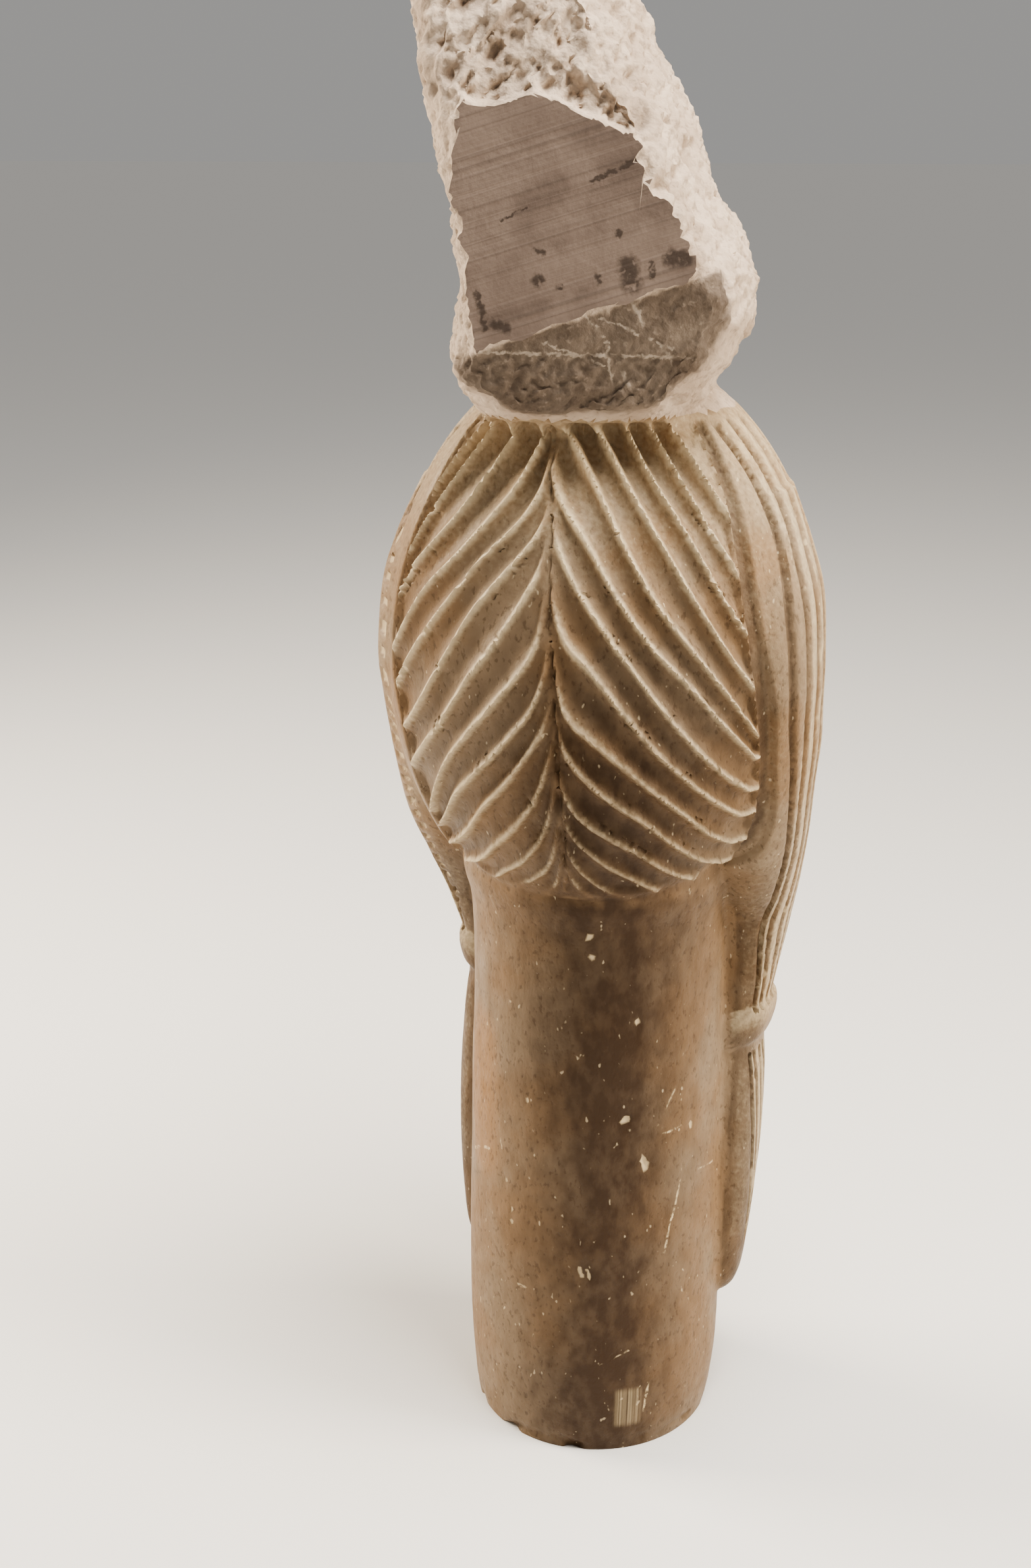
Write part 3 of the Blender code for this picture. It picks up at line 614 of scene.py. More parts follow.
# nicks on the back of the neck: degrees from the nape, height, half length, half width and
# depth in metres, and lean in degrees
neckNicks = [
    (34.5, 0.1496, 0.0012, 0.0010, 0.0006, 20), (-15.7, 0.1211, 0.0012, 0.0008, 0.0006, 0),
    (29.9, 0.1180, 0.0020, 0.0013, 0.0007, 60), (63.5, 0.1110, 0.0020, 0.0008, 0.0006, 0),
    (38.8, 0.1026, 0.0036, 0.0013, 0.0009, -12), (-27.2, 0.0909, 0.0010, 0.0008, 0.0006, 0),
    (-23.1, 0.0821, 0.0010, 0.0007, 0.0006, 0), (-23.1, 0.0777, 0.0011, 0.0008, 0.0006, 0),
    (11.0, 0.0660, 0.0028, 0.0009, 0.0008, -15), (14.5, 0.0655, 0.0024, 0.0007, 0.0007, -15),
    (13.0, 0.1770, 0.0016, 0.0012, 0.0003, 30), (14.0, 0.1705, 0.0017, 0.0014, 0.0003, 0),
]

# scratches on it, too thin to carve: degrees from the nape and height in mm at both ends,
# half width in mm
neckScratches = [
    (59.7, 138.5, 53.3, 125.0, 0.30), (53.3, 125.0, 40.4, 109.1, 0.34),
    (58.1, 112.5, 40.3, 110.7, 0.16), (61.7, 106.4, 56.5, 90.7, 0.26),
    (56.5, 90.7, 49.1, 70.0, 0.24), (83.2, 92.8, 67.4, 94.6, 0.20),
    (28.4, 99.4, 18.8, 92.0, 0.18), (-39.4, 144.9, -36.8, 135.8, 0.34),
    (-35.3, 128.0, -33.9, 114.3, 0.36), (-33.9, 114.3, -30.2, 100.7, 0.36),
    (-57.0, 92.8, -40.1, 98.5, 0.34), (-19.9, 56.5, -12.3, 56.7, 0.42),
    (57.3, 146.4, 73.1, 143.3, 0.16), (20.0, 33.0, 33.0, 38.0, 0.18),
    (-35.0, 38.0, -28.0, 45.0, 0.24), (44.0, 30.0, 41.0, 14.0, 0.20),
]


# 1 in the middle of a nick on the neck, and how deep it is cut
def neckMarkMaps(points):
    x, y, z = points.T
    turn = np.degrees(np.arctan2(-x, y))
    pale, depth = np.zeros(len(points)), np.zeros(len(points))
    onNeck = (np.hypot(x, y) < 1.06 * neckForm["radius"]) & (z < neckForm["height"] - 0.006)
    for markTurn, height, length, width, cut, lean in neckNicks:
        along = np.radians(turn - markTurn) * neckForm["radius"]
        up = z - height
        a, c = math.cos(math.radians(lean)), math.sin(math.radians(lean))
        far = ((up * a + along * c) / length) ** 2 + ((along * a - up * c) / width) ** 2
        far *= 1 + 0.8 * grainNoise(points, 0.0013, (3.3, 7.9, 1.8), onNeck & (far < 2))
        inside = np.clip(1 - far, 0, 1) * onNeck
        pale = np.maximum(pale, np.sqrt(inside))
        depth = np.maximum(depth, cut * inside)
    return pale, depth


# dents on the neck, a faint hand-worked unevenness, and the chipped foot
def carveNeck(points, normals):
    x, y, z = points.T
    depth = neckMarkMaps(points)[1]
    onNeck = (z < neckForm["height"] - 0.002) * (np.hypot(x, y) < 1.08 * neckForm["radius"])
    swell = grainNoise(points, 0.030, (6.4, 2.8, 9.9), onNeck > 0)
    foot = (1 - rise(0.000, 0.006, z)) * onNeck
    chips = rise(0.12, 0.5, grainNoise(points, 0.0065, (1.1, 4.9, 2.7), foot > 0)) * foot
    points += normals * (onNeck * 0.0005 * swell - depth - 0.0016 * chips)[:, None]


def readVectors(items, name):
    values = np.empty(len(items) * 3, np.float32)
    items.foreach_get(name, values)
    return values.reshape(-1, 3).astype(float)


def vertexArrays(mesh):
    return readVectors(mesh.vertices, "co"), readVectors(mesh.vertex_normals, "vector")


def carve(mesh):
    points, normals = vertexArrays(mesh)
    carveHair(points, normals)
    carveFace(points, normals)
    carveNeck(points, normals)
    carveCrown(points, normals)
    mesh.vertices.foreach_set("co", points.astype(np.float32).ravel())
    mesh.update()


# fewer triangles where the stone is plain, and the foot sawn off flat at the floor
def thinned(mesh):
    holder = bpy.data.objects.new("carving", mesh)
    bpy.context.scene.collection.objects.link(holder)
    thin = holder.modifiers.new("thin", "DECIMATE")
    thin.use_collapse_triangulate = True
    mesh.calc_loop_triangles()
    thin.ratio = min(1.0, meshing["triangles"] / len(mesh.loop_triangles))
    graph = bpy.context.evaluated_depsgraph_get()
    fine = bpy.data.meshes.new_from_object(holder.evaluated_get(graph))
    bm = bmesh.new()
    bm.from_mesh(fine)
    bpy.data.objects.remove(holder, do_unlink=True)
    bpy.data.meshes.remove(fine)
    cut = bmesh.ops.bisect_plane(
        bm, geom=bm.verts[:] + bm.edges[:] + bm.faces[:], dist=1e-6,
        plane_co=(0, 0, 0), plane_no=(0, 0, -1), clear_outer=True,
    )
    rim = [g for g in cut["geom_cut"] if isinstance(g, bmesh.types.BMEdge)]
    bmesh.ops.edgenet_fill(bm, edges=rim)
    bmesh.ops.recalc_face_normals(bm, faces=bm.faces)
    return bm


# masks for the stone: pale on ridges and edges, partly rubbing and partly painted highlight, with
# painted highlight on the band tops and the upper dome; pale in a fresh nick or chip;
# dark in broken hollows as painted shade, and on the darker facet; and the brown of handling down the
# nape with painted shade there, in flutes and grooves, under the hem and inside the bundles
def storeMasks(mesh):
    points, normals = vertexArrays(mesh)
    maps = hairMaps(points)
    x, y, z = points.T
    chips = chipping(points, maps)
    off, notchArea = lockPlaces(maps, x)
    lockCrest = (1 - rise(0.12, 0.40, off)) * maps["locks"]
    lockCrest *= 0.35 + 0.65 * rise(54, 60, maps["angle"])
    # ridge crests pale: partly rubbing wear, partly painted highlight
    ridge = 0.95 * maps["crest"] ** 1.5 * maps["combed"] * rise(0.8, 3.0, maps["away"])
    wear = np.maximum(ridge, 0.65 * lockCrest)
    # painted highlight on the top edge of each band, darker below
    bandMiddle, bandSlope = 0.0385, 0.2
    for side in (-1, 1):
        aboveBand = z - tieHeight(side) - bandSlope * (np.abs(x) - bandMiddle)
        topEdgeHighlight = rise(-0.004, 0.005, aboveBand)
        onBand = (np.abs(aboveBand) < 0.0075) * (x * side > 1.03 * neckForm["radius"])
        wear = np.maximum(wear, (0.05 + 0.45 * topEdgeHighlight) * onBand)
    pale = neckMarkMaps(points)[0]
    foot = (1 - rise(0.001, 0.005, z)) * (z > 0.0003)
    pale = np.maximum(pale, 0.32 * chips)
    pale = np.maximum(pale, 0.7 * rise(0.3, 0.8, notchesAt(z, points, notchArea)))
    outer = (np.abs(x) > 1.10 * neckForm["radius"]) & (z < 0.32)
    flaked = grainNoise(points, 0.006, (5.5, 0.2, 7.1), outer)
    flaked += 0.6 * grainNoise(points, 0.0017, (0.7, 6.6, 2.4), outer)
    pale = np.maximum(pale, 0.6 * rise(0.52, 0.62, flaked) * rise(50, 58, maps["angle"]) * outer)
    footChips = foot * rise(0.0, 0.4, grainNoise(points, 0.004, (3, 1, 7), foot > 0))
    pale = np.maximum(pale, 0.40 * footChips)
    across, behind = crownAxes(points)
    isCrown = z > crownZ - 0.002
    pits, torn, crumb, flakes = brokenSurface(points, across, behind, z, isCrown)[1:]
    above, below, under = crownZones(across, z)
    onBack = rise(0.040, 0.048, behind)
    # painted shade in the torn hollows and flakes; the facet below the slanted line is darker stone
    hollowShade = rise(0.0, 0.7, flakes) * 0.45 + rise(0.0, 0.7, torn) * 0.35
    onFacet = onBack * rise(0, 0.001, below)
    pit = hollowShade * (0.25 + 0.45 * onBack) * (1 - 0.6 * onFacet) + 0.08
    pit += onFacet * (0.80 + 0.10 * pits + 0.08 * crumb) + onBack * rise(0, 0.002, above) * 0.18
    drift = grainNoise(points, 0.030, (8.1, 2.3, 0.6)) + 0.5 * grainNoise(points, 0.011, (3, 9, 4))
    # the nape darker: partly the brown of handling, partly painted shade where the side lamps leave
    # the back of the neck; fading up the hair as painted light from above
    nape = np.exp(-(((maps["turn"] - 21 + 2 * drift) / 42) ** 2)) * (1 + 0.06 * drift)
    high = rise(-0.35, 0.75, maps["level"])
    hairHandlingAndShade = nape * (1 - 0.92 * high) * (0.62 + 0.38 * maps["flute"])
    # painted shade in the flutes, over a little real darkening, and painted shade in the seam groove
    # and the lock grooves
    hairHandlingAndShade = np.maximum(hairHandlingAndShade, (0.42 - 0.30 * high) * maps["flute"] * maps["combed"])
    hairHandlingAndShade = np.maximum(hairHandlingAndShade, 0.75 * maps["seam"])
    hairHandlingAndShade = np.maximum(hairHandlingAndShade, 0.70 * rise(0.28, 0.45, off) * maps["locks"])
    # painted shadow under the hem of the hair, wider towards the figure's right bundle
    underHemShadow = 0.5 * rise(0.120, 0.186, z) * np.exp(-(((maps["turn"] - 32) / 60) ** 2))
    neckHandlingAndShade = 1 - (1 - nape) * (1 - underHemShadow) + 0.05 * drift
    dark = np.where(z > neckForm["height"] - 0.004, hairHandlingAndShade, neckHandlingAndShade)
    # painted shade on the inner side of the tails and low bundles, beside the neck
    onBundle = np.hypot(x, y) > 1.07 * neckForm["radius"]
    innerSideShade = 0.62 * (1 - rise(50, 72, maps["angle"])) * (1 - rise(0.17, 0.21, z))
    dark = np.where(onBundle & (z <= neckForm["height"] + 0.02), np.maximum(hairHandlingAndShade, innerSideShade), dark)
    # less pale low on the nape, part of its handling brown and painted shade
    wear = wear * (1 - 0.50 * nape * (1 - high))
    # painted light: the upper dome of the hair paler, as if lit from above
    onHair = (z > neckForm["height"]) & (z < crownZ)
    wear = np.maximum(wear, 0.46 * rise(0.0, 0.8, maps["level"]) * onHair * (1 - 0.5 * hairHandlingAndShade))
    for name, values in (("wear", wear), ("pale", pale), ("pit", pit), ("dark", dark)):
        layer = mesh.attributes.new(name, "FLOAT", "POINT")
        layer.data.foreach_set("value", values.astype(np.float32))


# 0 rubbed stone, 1 sawn face, 2 broken stone
def assignFinishes(mesh):
    centres, normals = (readVectors(mesh.polygons, name) for name in ("center", "normal"))
    across, behind = crownAxes(centres)
    above, below, under = crownZones(across, centres[:, 2])
    facing = -normals[:, 0] * math.sin(crownTurn) + normals[:, 1] * math.cos(crownTurn)
    onCrown = centres[:, 2] > crownZ - 0.0005
    flat = behind > crownForm["sawCut"] - 0.0012
    sawn = onCrown & flat & (below <= 0.0005) & (facing > 0.97)
    finish = np.where(sawn, 1, np.where(onCrown, 2, 0))
    mesh.polygons.foreach_set("material_index", finish.astype(np.int32))
    mesh.polygons.foreach_set("use_smooth", ~sawn)


# the deep colour is the brown of handling and painted shade; the pale worn colour serves dust, rubbed
# edges and painted highlight
rubbedFinish = {
    "stone": "#775d41", "grey": "#7a664f", "deep": "#25170d", "paleWornAndLit": "#cfbc98",
    "nick": "#cdb78f", "stain": "#8a5c26", "speck": "#2a1a0e", "roughness": (0.46, 0.64),
}
sawnFinish = {"stone": "#52443b", "line": "#332a24", "dust": "#6b5b50", "spot": "#261c15"}
# the pit colour is painted shade in hollows and between crumbs, and the darker facet
brokenFinish = {"crust": "#b4a08b", "stone": "#806c58", "pit": "#2f231a", "scratch": "#a59684"}


# a mix of two colours, each a node's colour or a plain one
def mixColour(tree, factor, first, second):
    return addNode(
        tree, "ShaderNodeMix", {"data_type": "RGBA", "clamp_factor": True},
        {0: factor, 6: first, 7: second},
    )


# a coat of one colour over a finish, as thick as the mask says
def coat(tree, mask, below, hexColour):
    return mixColour(tree, (mask, 0), (below, 2), linear(hexColour))


def newMaterial(name):
    material = bpy.data.materials.new(name)
    material.use_nodes = True
    tree = material.node_tree
    return material, tree, tree.nodes["Principled BSDF"]


# values between low and high spread to 0 and top, with soft ends
def ramp(tree, source, low, high, top=1.0):
    return addNode(
        tree, "ShaderNodeMapRange", {"interpolation_type": "SMOOTHSTEP"},
        {0: source, 1: low, 2: high, 3: 0.0, 4: top},
    )


def arithmetic(tree, operation, first, second):
    return addNode(tree, "ShaderNodeMath", {"operation": operation}, {0: first, 1: second})


def vectorMath(tree, operation, first, second):
    inputs = {0: first, ("Scale" if operation == "SCALE" else 1): second}
    return addNode(tree, "ShaderNodeVectorMath", {"operation": operation}, inputs)


# the place moved about by a noise, so that a stroke drawn there wavers
def shakenPlace(tree, spot, noiseNode, reach):
    offset = vectorMath(tree, "SCALE", (noiseNode, 1), reach)
    return vectorMath(tree, "ADD", spot, (offset, 0))


# a bump of the given depth in metres, on top of another where one is given
def bumpOn(tree, height, strength, depth, below=None, invert=False):
    inputs = {"Strength": strength, "Distance": depth, "Height": height}
    if below:
        inputs["Normal"] = below
    return addNode(tree, "ShaderNodeBump", {"invert": invert}, inputs)


# a mask that is 1 only where both masks are
def both(tree, first, second):
    return arithmetic(tree, "MULTIPLY", (first, 0), (second, 0))


def cloudNoise(tree, spot, scale, detail):
    return addNode(
        tree, "ShaderNodeTexNoise", {}, {"Vector": spot, "Scale": scale, "Detail": detail}
    )


def stripeNoise(tree, along, scale, detail):
    return addNode(
        tree, "ShaderNodeTexNoise", {"noise_dimensions": "1D"},
        {"W": along, "Scale": scale, "Detail": detail},
    )


# 1 within a line or spot between two places on the stone, fading over its outer part
def strokeMask(tree, spot, start, end, width):
    start, end = Vector(start), Vector(end)
    along = end - start
    length = max(along.length, 1e-6)
    offset = vectorMath(tree, "SUBTRACT", spot, start)
    share = vectorMath(tree, "DOT_PRODUCT", (offset, 0), along / length**2)
    held = arithmetic(tree, "MULTIPLY", (share, "Value"), 1.0)
    held.use_clamp = True
    nearest = vectorMath(tree, "SCALE", along, (held, 0))
    gap = vectorMath(tree, "DISTANCE", (offset, 0), (nearest, 0))
    return ramp(tree, (gap, "Value"), width, 0.35 * width)


def joinMasks(tree, masks):
    joined = masks[0]
    for mask in masks[1:]:
        joined = arithmetic(tree, "MAXIMUM", (joined, 0), (mask, 0))
    return joined


# many strokes in one mask; a shaken place lies back metres off in each direction on average
def strokeMasks(tree, spot, strokes, back):
    shift = Vector((back, back, back))
    return joinMasks(tree, [
        strokeMask(tree, spot, Vector(start) + shift, Vector(end) + shift, width)
        for start, end, width in strokes
    ])


# the place at this turn from the nape and this height in mm on the round of the neck
def onNeck(turn, height):
    reach = neckForm["radius"] * 1.012
    angle = math.radians(turn)
    return (-reach * math.sin(angle), reach * math.cos(angle), height / 1000)


# the place on the saw cut at this distance across and this height, both in mm
def onSawCut(across, height):
    across, behind = across / 1000, crownForm["sawCut"] - 0.0008
    return (
        across * math.cos(crownTurn) - behind * math.sin(crownTurn),
        across * math.sin(crownTurn) + behind * math.cos(crownTurn),
        height / 1000,
    )


# soapstone, filed to shape, rubbed with grit and darkened by handling: brown and half matt, darkest
# down the nape, partly handling and partly painted shade, with painted shade in the flutes; pale on
# every worn edge, partly painted highlight, and in every fresh nick
def rubbedSoapstone():
    material, tree, shader = newMaterial("rubbedSoapstone")
    spot = (addNode(tree, "ShaderNodeTexCoord", {}, {}), "Object")
    wear, pale, dark = (
        addNode(tree, "ShaderNodeAttribute", {"attribute_name": name}, {})
        for name in ("wear", "pale", "dark")
    )

    # clouds about 30 mm across, and mottling of 5 mm drawn out a little up the neck
    clouds = cloudNoise(tree, spot, 33.0, 5.0)
    tall = addNode(tree, "ShaderNodeMapping", {}, {"Vector": spot, "Scale": (1.0, 1.0, 0.6)})
    mottle = cloudNoise(tree, (tall, 0), 230.0, 8.0)
    cloudMask = ramp(tree, (clouds, 0), 0.40, 0.62)
    base = mixColour(
        tree, (cloudMask, 0), linear(rubbedFinish["stone"]), linear(rubbedFinish["grey"])
    )
    mottleShare = ramp(tree, (mottle, 0), 0.30, 0.72, 0.20)
    # the dark mask: brown of handling with painted shade, plus real mottling
    darkMottle = arithmetic(tree, "ADD", (dark, "Fac"), (mottleShare, 0))
    darkShare = addNode(
        tree, "ShaderNodeMapRange", {}, {0: (darkMottle, 0), 1: 0.08, 2: 1.12, 3: 0.0, 4: 0.96}
    )
    toned = coat(tree, darkShare, base, rubbedFinish["deep"])

    # an orange stain on the left of the neck
    stainMask = strokeMask(tree, spot, onNeck(-50, 134), onNeck(-46, 98), 0.014)
    stainMask = arithmetic(tree, "MULTIPLY", (stainMask, 0), 0.4)
    stained = coat(tree, stainMask, toned, rubbedFinish["stain"])

    # dark pores of 0.7 mm, drawn a little coarser than real, and a few filled with pale dust
    pores = cloudNoise(tree, (tall, 0), 780.0, 2.0)
    poreMask = ramp(tree, (pores, 0), 0.56, 0.70, 0.45)
    pored = coat(tree, poreMask, stained, rubbedFinish["speck"])
    dusty = cloudNoise(tree, (tall, 0), 620.0, 1.0)
    dustMask = ramp(tree, (dusty, 0), 0.72, 0.80, 0.40)
    dusted = coat(tree, dustMask, pored, rubbedFinish["paleWornAndLit"])

    # worn edges, partly with painted highlight on ridge crests, band tops and the upper dome, broken
    # up by a grain of 1.5 mm
    grain = cloudNoise(tree, spot, 650.0, 4.0)
    brokenUp = arithmetic(tree, "MULTIPLY_ADD", (grain, 0), 0.55)
    brokenUp.inputs[2].default_value = -0.275
    wearHighlightSum = arithmetic(tree, "ADD", (wear, "Fac"), (brokenUp, 0))
    wearHighlightMask = ramp(tree, (wearHighlightSum, 0), 0.10, 1.10, 0.80)
    paleWornAndLit = coat(tree, wearHighlightMask, dusted, rubbedFinish["paleWornAndLit"])

    # nicks, and scratches that waver by half a millimetre
    slow, quick = 0.0036, 0.0020
    swayed = shakenPlace(tree, spot, clouds, slow)
    shaken = shakenPlace(tree, (swayed, 0), mottle, quick)
    scratches = [
        (onNeck(turnA, heightA), onNeck(turnB, heightB), 0.0014 * width + 0.00022)
        for turnA, heightA, turnB, heightB, width in neckScratches
    ]
    scratchMask = strokeMasks(tree, (shaken, 0), scratches, (slow + quick) / 2)
    breaks = ramp(tree, (grain, 0), 0.36, 0.60)
    scratchShare = both(tree, scratchMask, breaks)
    hatchShare = hatchedPatch(tree, spot)
    nickMask = ramp(tree, (pale, "Fac"), 0.25, 0.85)
    marks = joinMasks(tree, [scratchShare, hatchShare, nickMask])
    marksShare = arithmetic(tree, "MULTIPLY", (marks, 0), 0.72)
    finished = coat(tree, marksShare, paleWornAndLit, rubbedFinish["nick"])
    tree.links.new(finished.outputs[2], shader.inputs["Base Color"])

    low, high = rubbedFinish["roughness"]
    gloss = addNode(
        tree, "ShaderNodeMapRange", {}, {0: (mottle, 0), 1: 0.3, 2: 0.7, 3: low, 4: high}
    )
    tree.links.new(gloss.outputs[0], shader.inputs["Roughness"])
    shader.inputs["Specular IOR Level"].default_value = 0.16
    shader.inputs["Specular Tint"].default_value = linear("#f2dcc0")

    grainDepth = bumpOn(tree, (grain, 0), 0.5, 0.0003)
    poreDepth = bumpOn(tree, (pores, 0), 0.5, 0.0004, below=(grainDepth, 0), invert=True)
    tree.links.new(poreDepth.outputs[0], shader.inputs["Normal"])
    return material


# a scraped white patch low on the back, 9 mm wide and 14 mm tall, in upright strokes
def hatchedPatch(tree, spot):
    patchTurn = 33.5
    middle = Vector(onNeck(patchTurn, 16.5))
    offset = (vectorMath(tree, "SUBTRACT", spot, middle), 0)
    c, s = math.cos(math.radians(patchTurn)), math.sin(math.radians(patchTurn))
    sideways = vectorMath(tree, "DOT_PRODUCT", offset, (-c, -s, 0.0))
    outwards = vectorMath(tree, "DOT_PRODUCT", offset, (-s, c, 0.0))
    upwards = addNode(tree, "ShaderNodeSeparateXYZ", {}, {0: offset})
    masks = []
    for source, reach in (((sideways, "Value"), 0.0047), ((upwards, 2), 0.0078)):
        size = addNode(tree, "ShaderNodeMath", {"operation": "ABSOLUTE"}, {0: source})
        masks.append(ramp(tree, (size, 0), 1.05 * reach, 0.7 * reach))
    masks.append(ramp(tree, (outwards, "Value"), -0.006, -0.004))
    lines = stripeNoise(tree, (sideways, "Value"), 1500.0, 3.0)
    share = ramp(tree, (lines, 0), 0.25, 0.80, 0.55)
    for mask in masks:
        share = both(tree, share, mask)
    return share


# soapstone as the saw left it: matt and greyer, in slanting saw lines with stone dust in them
def sawnSoapstone():
    material, tree, shader = newMaterial("sawnSoapstone")
    spot = (addNode(tree, "ShaderNodeTexCoord", {}, {}), "Object")
    slope = math.radians(17)
    lineAxis = (
        math.sin(slope) * math.cos(crownTurn), math.sin(slope) * math.sin(crownTurn),
        math.cos(slope),
    )
    across = (vectorMath(tree, "DOT_PRODUCT", spot, lineAxis), "Value")
    # saw lines about 1.2 mm apart, drawn a little coarser than real, in bands of 9 mm
    lines = stripeNoise(tree, across, 850.0, 3.0)
    bands = stripeNoise(tree, across, 110.0, 1.0)
    clouds = cloudNoise(tree, spot, 75.0, 5.0)
    grain = cloudNoise(tree, spot, 600.0, 4.0)
    cloudMask = ramp(tree, (clouds, 0), 0.35, 0.65)
    lineShare = ramp(tree, (lines, 0), 0.45, 0.75, 0.45)
    bandShare = ramp(tree, (bands, 0), 0.42, 0.60, 0.40)
    base = mixColour(tree, (cloudMask, 0), linear(sawnFinish["stone"]), linear(sawnFinish["dust"]))
    lined = coat(tree, lineShare, base, sawnFinish["line"])
    banded = coat(tree, bandShare, lined, sawnFinish["dust"])

    # the dark patches and the one deep saw line, with crumbling edges
    reach = 0.0030
    shaken = shakenPlace(tree, spot, grain, reach)
    strokes = [
        (onSawCut(*start), onSawCut(*end), width) for start, end, width in (
            ((-4.5, 364.5), (-5.5, 360.0), 0.0036), ((-15.0, 366.0), (-18.5, 366.0), 0.0030),
            ((-10.5, 364.5), (-10.5, 361.5), 0.0012), ((18.1, 360.6), (17.5, 360.6), 0.0021),
            ((18.1, 367.9), (17.0, 367.5), 0.0014), ((2.8, 361.6), (2.6, 360.6), 0.0014),
            ((12.5, 359.0), (12.0, 359.0), 0.0010), ((-2.0, 372.0), (-2.6, 371.4), 0.0012),
            ((4.6, 384.2), (-12.0, 391.9), 0.0009), ((33.0, 357.5), (31.0, 349.0), 0.0012),
            ((28.5, 350.0), (26.0, 349.0), 0.0022), ((20.5, 378.0), (27.0, 375.0), 0.0007),
        )
    ]
    spotMask = strokeMasks(tree, (shaken, 0), strokes, reach / 2)
    crumble = ramp(tree, (grain, 0), 0.28, 0.48, 0.85)
    spotShare = both(tree, spotMask, crumble)
    finished = coat(tree, spotShare, banded, sawnFinish["spot"])
    tree.links.new(finished.outputs[2], shader.inputs["Base Color"])
    shader.inputs["Roughness"].default_value = 0.78
    shader.inputs["Specular IOR Level"].default_value = 0.2
    lineDepth = bumpOn(tree, (lines, 0), 0.45, 0.0003)
    grainDepth = bumpOn(tree, (grain, 0), 0.5, 0.0003, below=(lineDepth, 0))
    tree.links.new(grainDepth.outputs[0], shader.inputs["Normal"])
    return material


# soapstone as it broke from the bed: dull and crumbly, with a pale crust, painted shade in its pits
# and a darker facet
def brokenSoapstone():
    material, tree, shader = newMaterial("brokenSoapstone")
    spot = (addNode(tree, "ShaderNodeTexCoord", {}, {}), "Object")
    pit = addNode(tree, "ShaderNodeAttribute", {"attribute_name": "pit"}, {})
    clouds = cloudNoise(tree, spot, 80.0, 6.0)
    crumbs = cloudNoise(tree, spot, 520.0, 9.0)
    cloudMask = ramp(tree, (clouds, 0), 0.66, 0.30, 0.60)
    base = mixColour(
        tree, (cloudMask, 0), linear(brokenFinish["crust"]), linear(brokenFinish["stone"])
    )
    pitShadeAndFacetMask = ramp(tree, (pit, "Fac"), 0.15, 1.0, 0.85)
    pitted = coat(tree, pitShadeAndFacetMask, base, brokenFinish["pit"])

    # crumbs of 2 mm, with painted shade between them and pale on top
    crumbShade = ramp(tree, (crumbs, 0), 0.47, 0.33, 0.30)
    crumbled = coat(tree, crumbShade, pitted, brokenFinish["pit"])
    crumbPale = ramp(tree, (crumbs, 0), 0.58, 0.74, 0.22)
    crusted = coat(tree, crumbPale, crumbled, brokenFinish["crust"])

    # scratches over the facet below the saw cut: distance across and height in mm at both ends;
    # each place is first moved square onto the cut, so a scratch keeps its width in the hollows
    outward = Vector((-math.sin(crownTurn), math.cos(crownTurn), 0))
    behind = vectorMath(tree, "DOT_PRODUCT", spot, outward)
    gap = arithmetic(tree, "SUBTRACT", crownForm["sawCut"] - 0.0008, (behind, "Value"))
    lift = vectorMath(tree, "SCALE", outward, (gap, 0))
    flat = vectorMath(tree, "ADD", spot, (lift, 0))
    reach = 0.0032
    shaken = shakenPlace(tree, (flat, 0), crumbs, reach)
    strokes = [
        (onSawCut(*start), onSawCut(*end), width) for start, end, width in (
            ((33.3, 343.0), (-21.4, 341.5), 0.0007), ((1.9, 351.5), (-16.3, 344.0), 0.0006),
            ((-6.1, 354.9), (-8.7, 349.7), 0.0009), ((0.6, 345.4), (-1.5, 333.0), 0.0006),
            ((-13.8, 344.2), (-19.7, 336.2), 0.0009), ((16.3, 345.3), (1.1, 339.8), 0.0005),
            ((-2.6, 340.5), (-5.2, 334.3), 0.0010), ((6.4, 352.5), (0.0, 345.4), 0.0005),
        )
    ]
    onFacet = ramp(tree, (behind, "Value"), 0.046, 0.050, 0.60)
    scratches = strokeMasks(tree, (shaken, 0), strokes, reach / 2)
    scratchShare = both(tree, scratches, onFacet)
    breaks = ramp(tree, (cloudNoise(tree, spot, 240.0, 3.0), 0), 0.38, 0.56)
    scratchShare = both(tree, scratchShare, breaks)
    finished = coat(tree, scratchShare, crusted, brokenFinish["scratch"])
    tree.links.new(finished.outputs[2], shader.inputs["Base Color"])
    shader.inputs["Roughness"].default_value = 0.88
    shader.inputs["Specular IOR Level"].default_value = 0.2
    depth = bumpOn(tree, (crumbs, 0), 0.8, 0.0009)
    tree.links.new(depth.outputs[0], shader.inputs["Normal"])
    return material


def buildBust():
    skin = mergedMasses()
    print("masses merged:", len(skin.vertices), "points")
    carve(skin)
    print("carved")
    bm = thinned(skin)
    bpy.data.meshes.remove(skin)
    mesh = bpy.data.meshes.new("stoneBust")
    bm.to_mesh(mesh)
    bm.free()
    for finish in (rubbedSoapstone(), sawnSoapstone(), brokenSoapstone()):
        mesh.materials.append(finish)
    storeMasks(mesh)
    mesh.shade_smooth()
    mesh.set_sharp_from_angle(angle=math.radians(55))
    assignFinishes(mesh)
    bust = bpy.data.objects.new("stoneBust", mesh)
    bpy.context.scene.collection.objects.link(bust)
    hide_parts("bust")
    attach(bust, "root")
    mesh.calc_loop_triangles()
    print("bust finished:", len(mesh.loop_triangles), "triangles")
    return bust


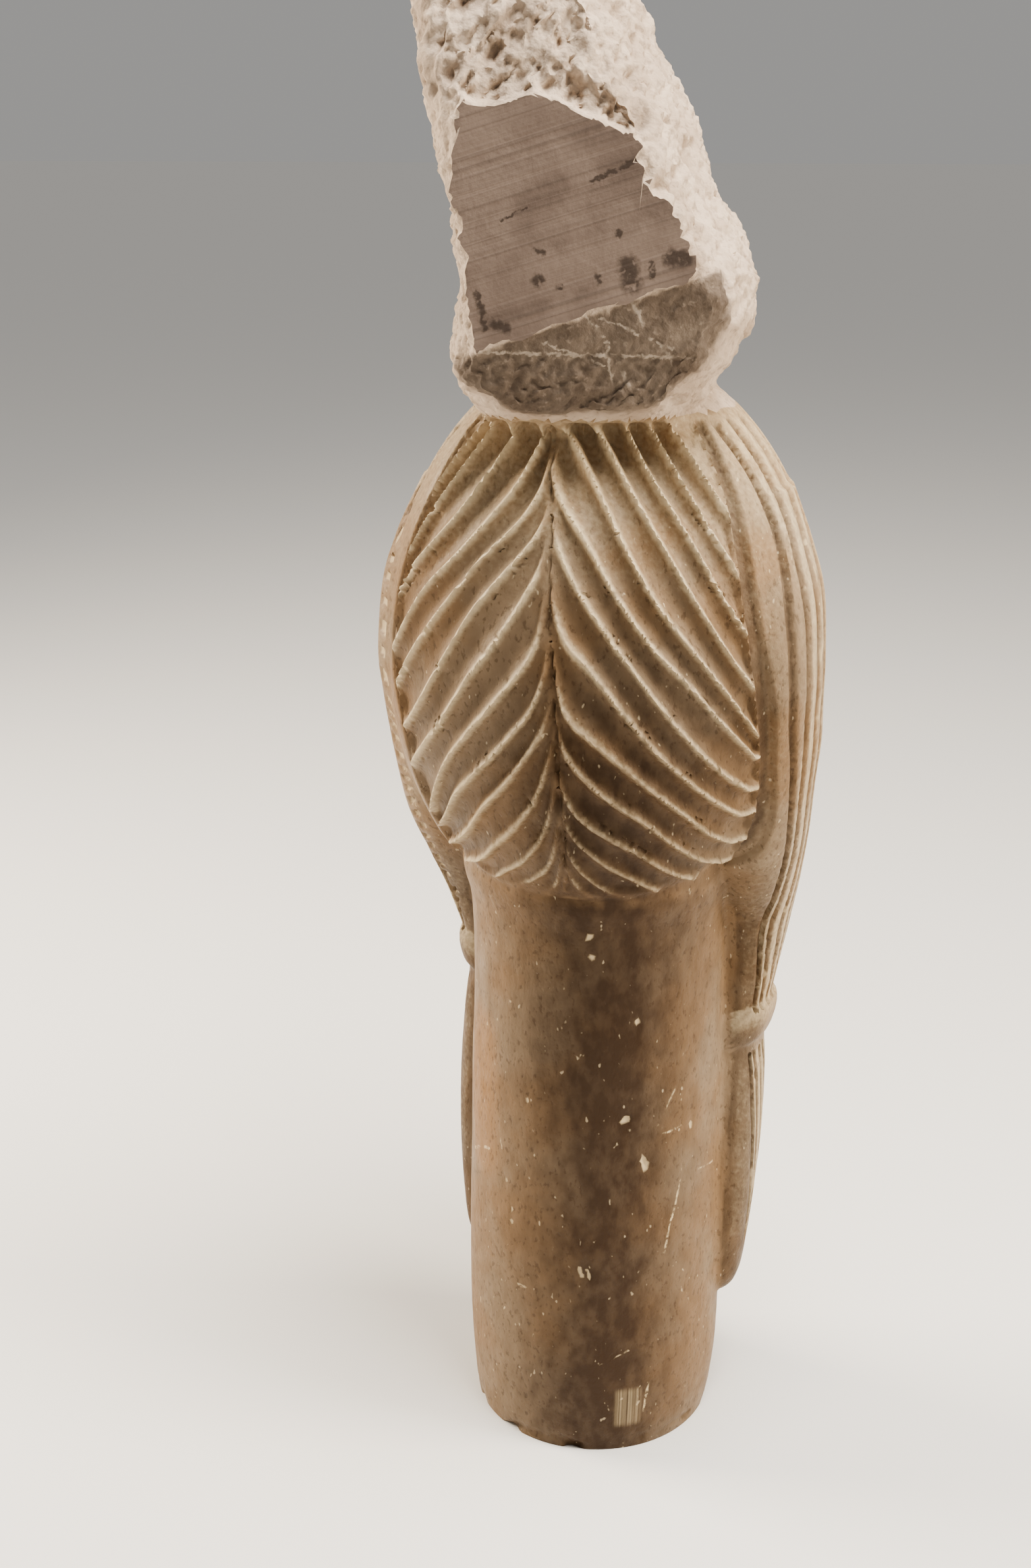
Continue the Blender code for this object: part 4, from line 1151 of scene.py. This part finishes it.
roomForm = {
    "floorReach": 40.0, "floorColour": "#d9d6d1", "skyColour": "#e8e6e3", "sky": 0.42,
    "overhead": 0.5,
}
lampForm = [
    # name, place, aimed at, size, power in watts, colour
    ("leftSoftbox", (0.85, 0.02, 0.62), (0, 0, 0.22), 0.40, 26.0, "#fff0da"),
    ("rightSoftbox", (-0.90, -0.05, 0.62), (0, 0, 0.22), 0.40, 20.0, "#fff2de"),
    ("topSoftbox", (-0.22, 0.12, 1.15), (0, 0, 0.28), 0.4, 30.0, "#fffaf2"),
]
# turn is from behind the figure towards its right side
cameraForm = {"turn": 17.0, "distance": 0.54, "height": 0.393, "tilt": -18.7, "swing": 2.748}


def buildRoom():
    bm = bmesh.new()
    bmesh.ops.create_grid(bm, x_segments=4, y_segments=4, size=roomForm["floorReach"])
    mesh = bpy.data.meshes.new("floor")
    bm.to_mesh(mesh)
    bm.free()
    floor = bpy.data.objects.new("floor", mesh)
    bpy.context.scene.collection.objects.link(floor)
    material, tree, shader = newMaterial("mattPaperFloor")
    shader.inputs["Base Color"].default_value = linear(roomForm["floorColour"])
    shader.inputs["Roughness"].default_value = 0.7
    mesh.materials.append(material)

    world = bpy.data.worlds.new("paleRoom")
    bpy.context.scene.world = world
    world.use_nodes = True
    sky = world.node_tree.nodes["Background"]
    sky.inputs[0].default_value = linear(roomForm["skyColour"])
    sky.inputs[1].default_value = roomForm["sky"]

    overhead = bpy.data.lights.new("overheadLight", "SUN")
    overhead.energy = roomForm["overhead"]
    overhead.angle = math.radians(50)
    bpy.context.scene.collection.objects.link(bpy.data.objects.new("overheadLight", overhead))

    for name, place, aim, size, power, colour in lampForm:
        lamp = bpy.data.lights.new(name, "AREA")
        lamp.shape = "SQUARE"
        lamp.size = size
        lamp.energy = power
        lamp.color = linear(colour)[:3]
        holder = bpy.data.objects.new(name, lamp)
        holder.location = place
        holder.rotation_euler = (Vector(aim) - Vector(place)).to_track_quat("-Z", "Y").to_euler()
        bpy.context.scene.collection.objects.link(holder)


def buildCamera():
    turn, swing, tilt = (math.radians(cameraForm[k]) for k in ("turn", "swing", "tilt"))
    toward = Vector((math.sin(turn), -math.cos(turn), 0))
    right = Vector((-math.cos(turn), -math.sin(turn), 0))
    level = toward * math.cos(swing) - right * math.sin(swing)
    side = right * math.cos(swing) + toward * math.sin(swing)
    forward = level * math.cos(tilt) + Vector((0, 0, math.sin(tilt)))
    up = -level * math.sin(tilt) + Vector((0, 0, math.cos(tilt)))
    lens = bpy.data.cameras.new("photoCamera")
    lens.sensor_width = 36.0
    lens.lens = 18.0 / math.tan(math.radians(22.5))
    lens.clip_start = 0.01
    camera = bpy.data.objects.new("photoCamera", lens)
    bpy.context.scene.collection.objects.link(camera)
    pose = Matrix((side, up, -forward)).transposed().to_4x4()
    reach = cameraForm["distance"]
    pose.translation = Vector((-reach * math.sin(turn), reach * math.cos(turn), cameraForm["height"]))
    camera.matrix_world = pose
    bpy.context.scene.camera = camera


buildBust()
buildRoom()
buildCamera()
print("room and camera set")
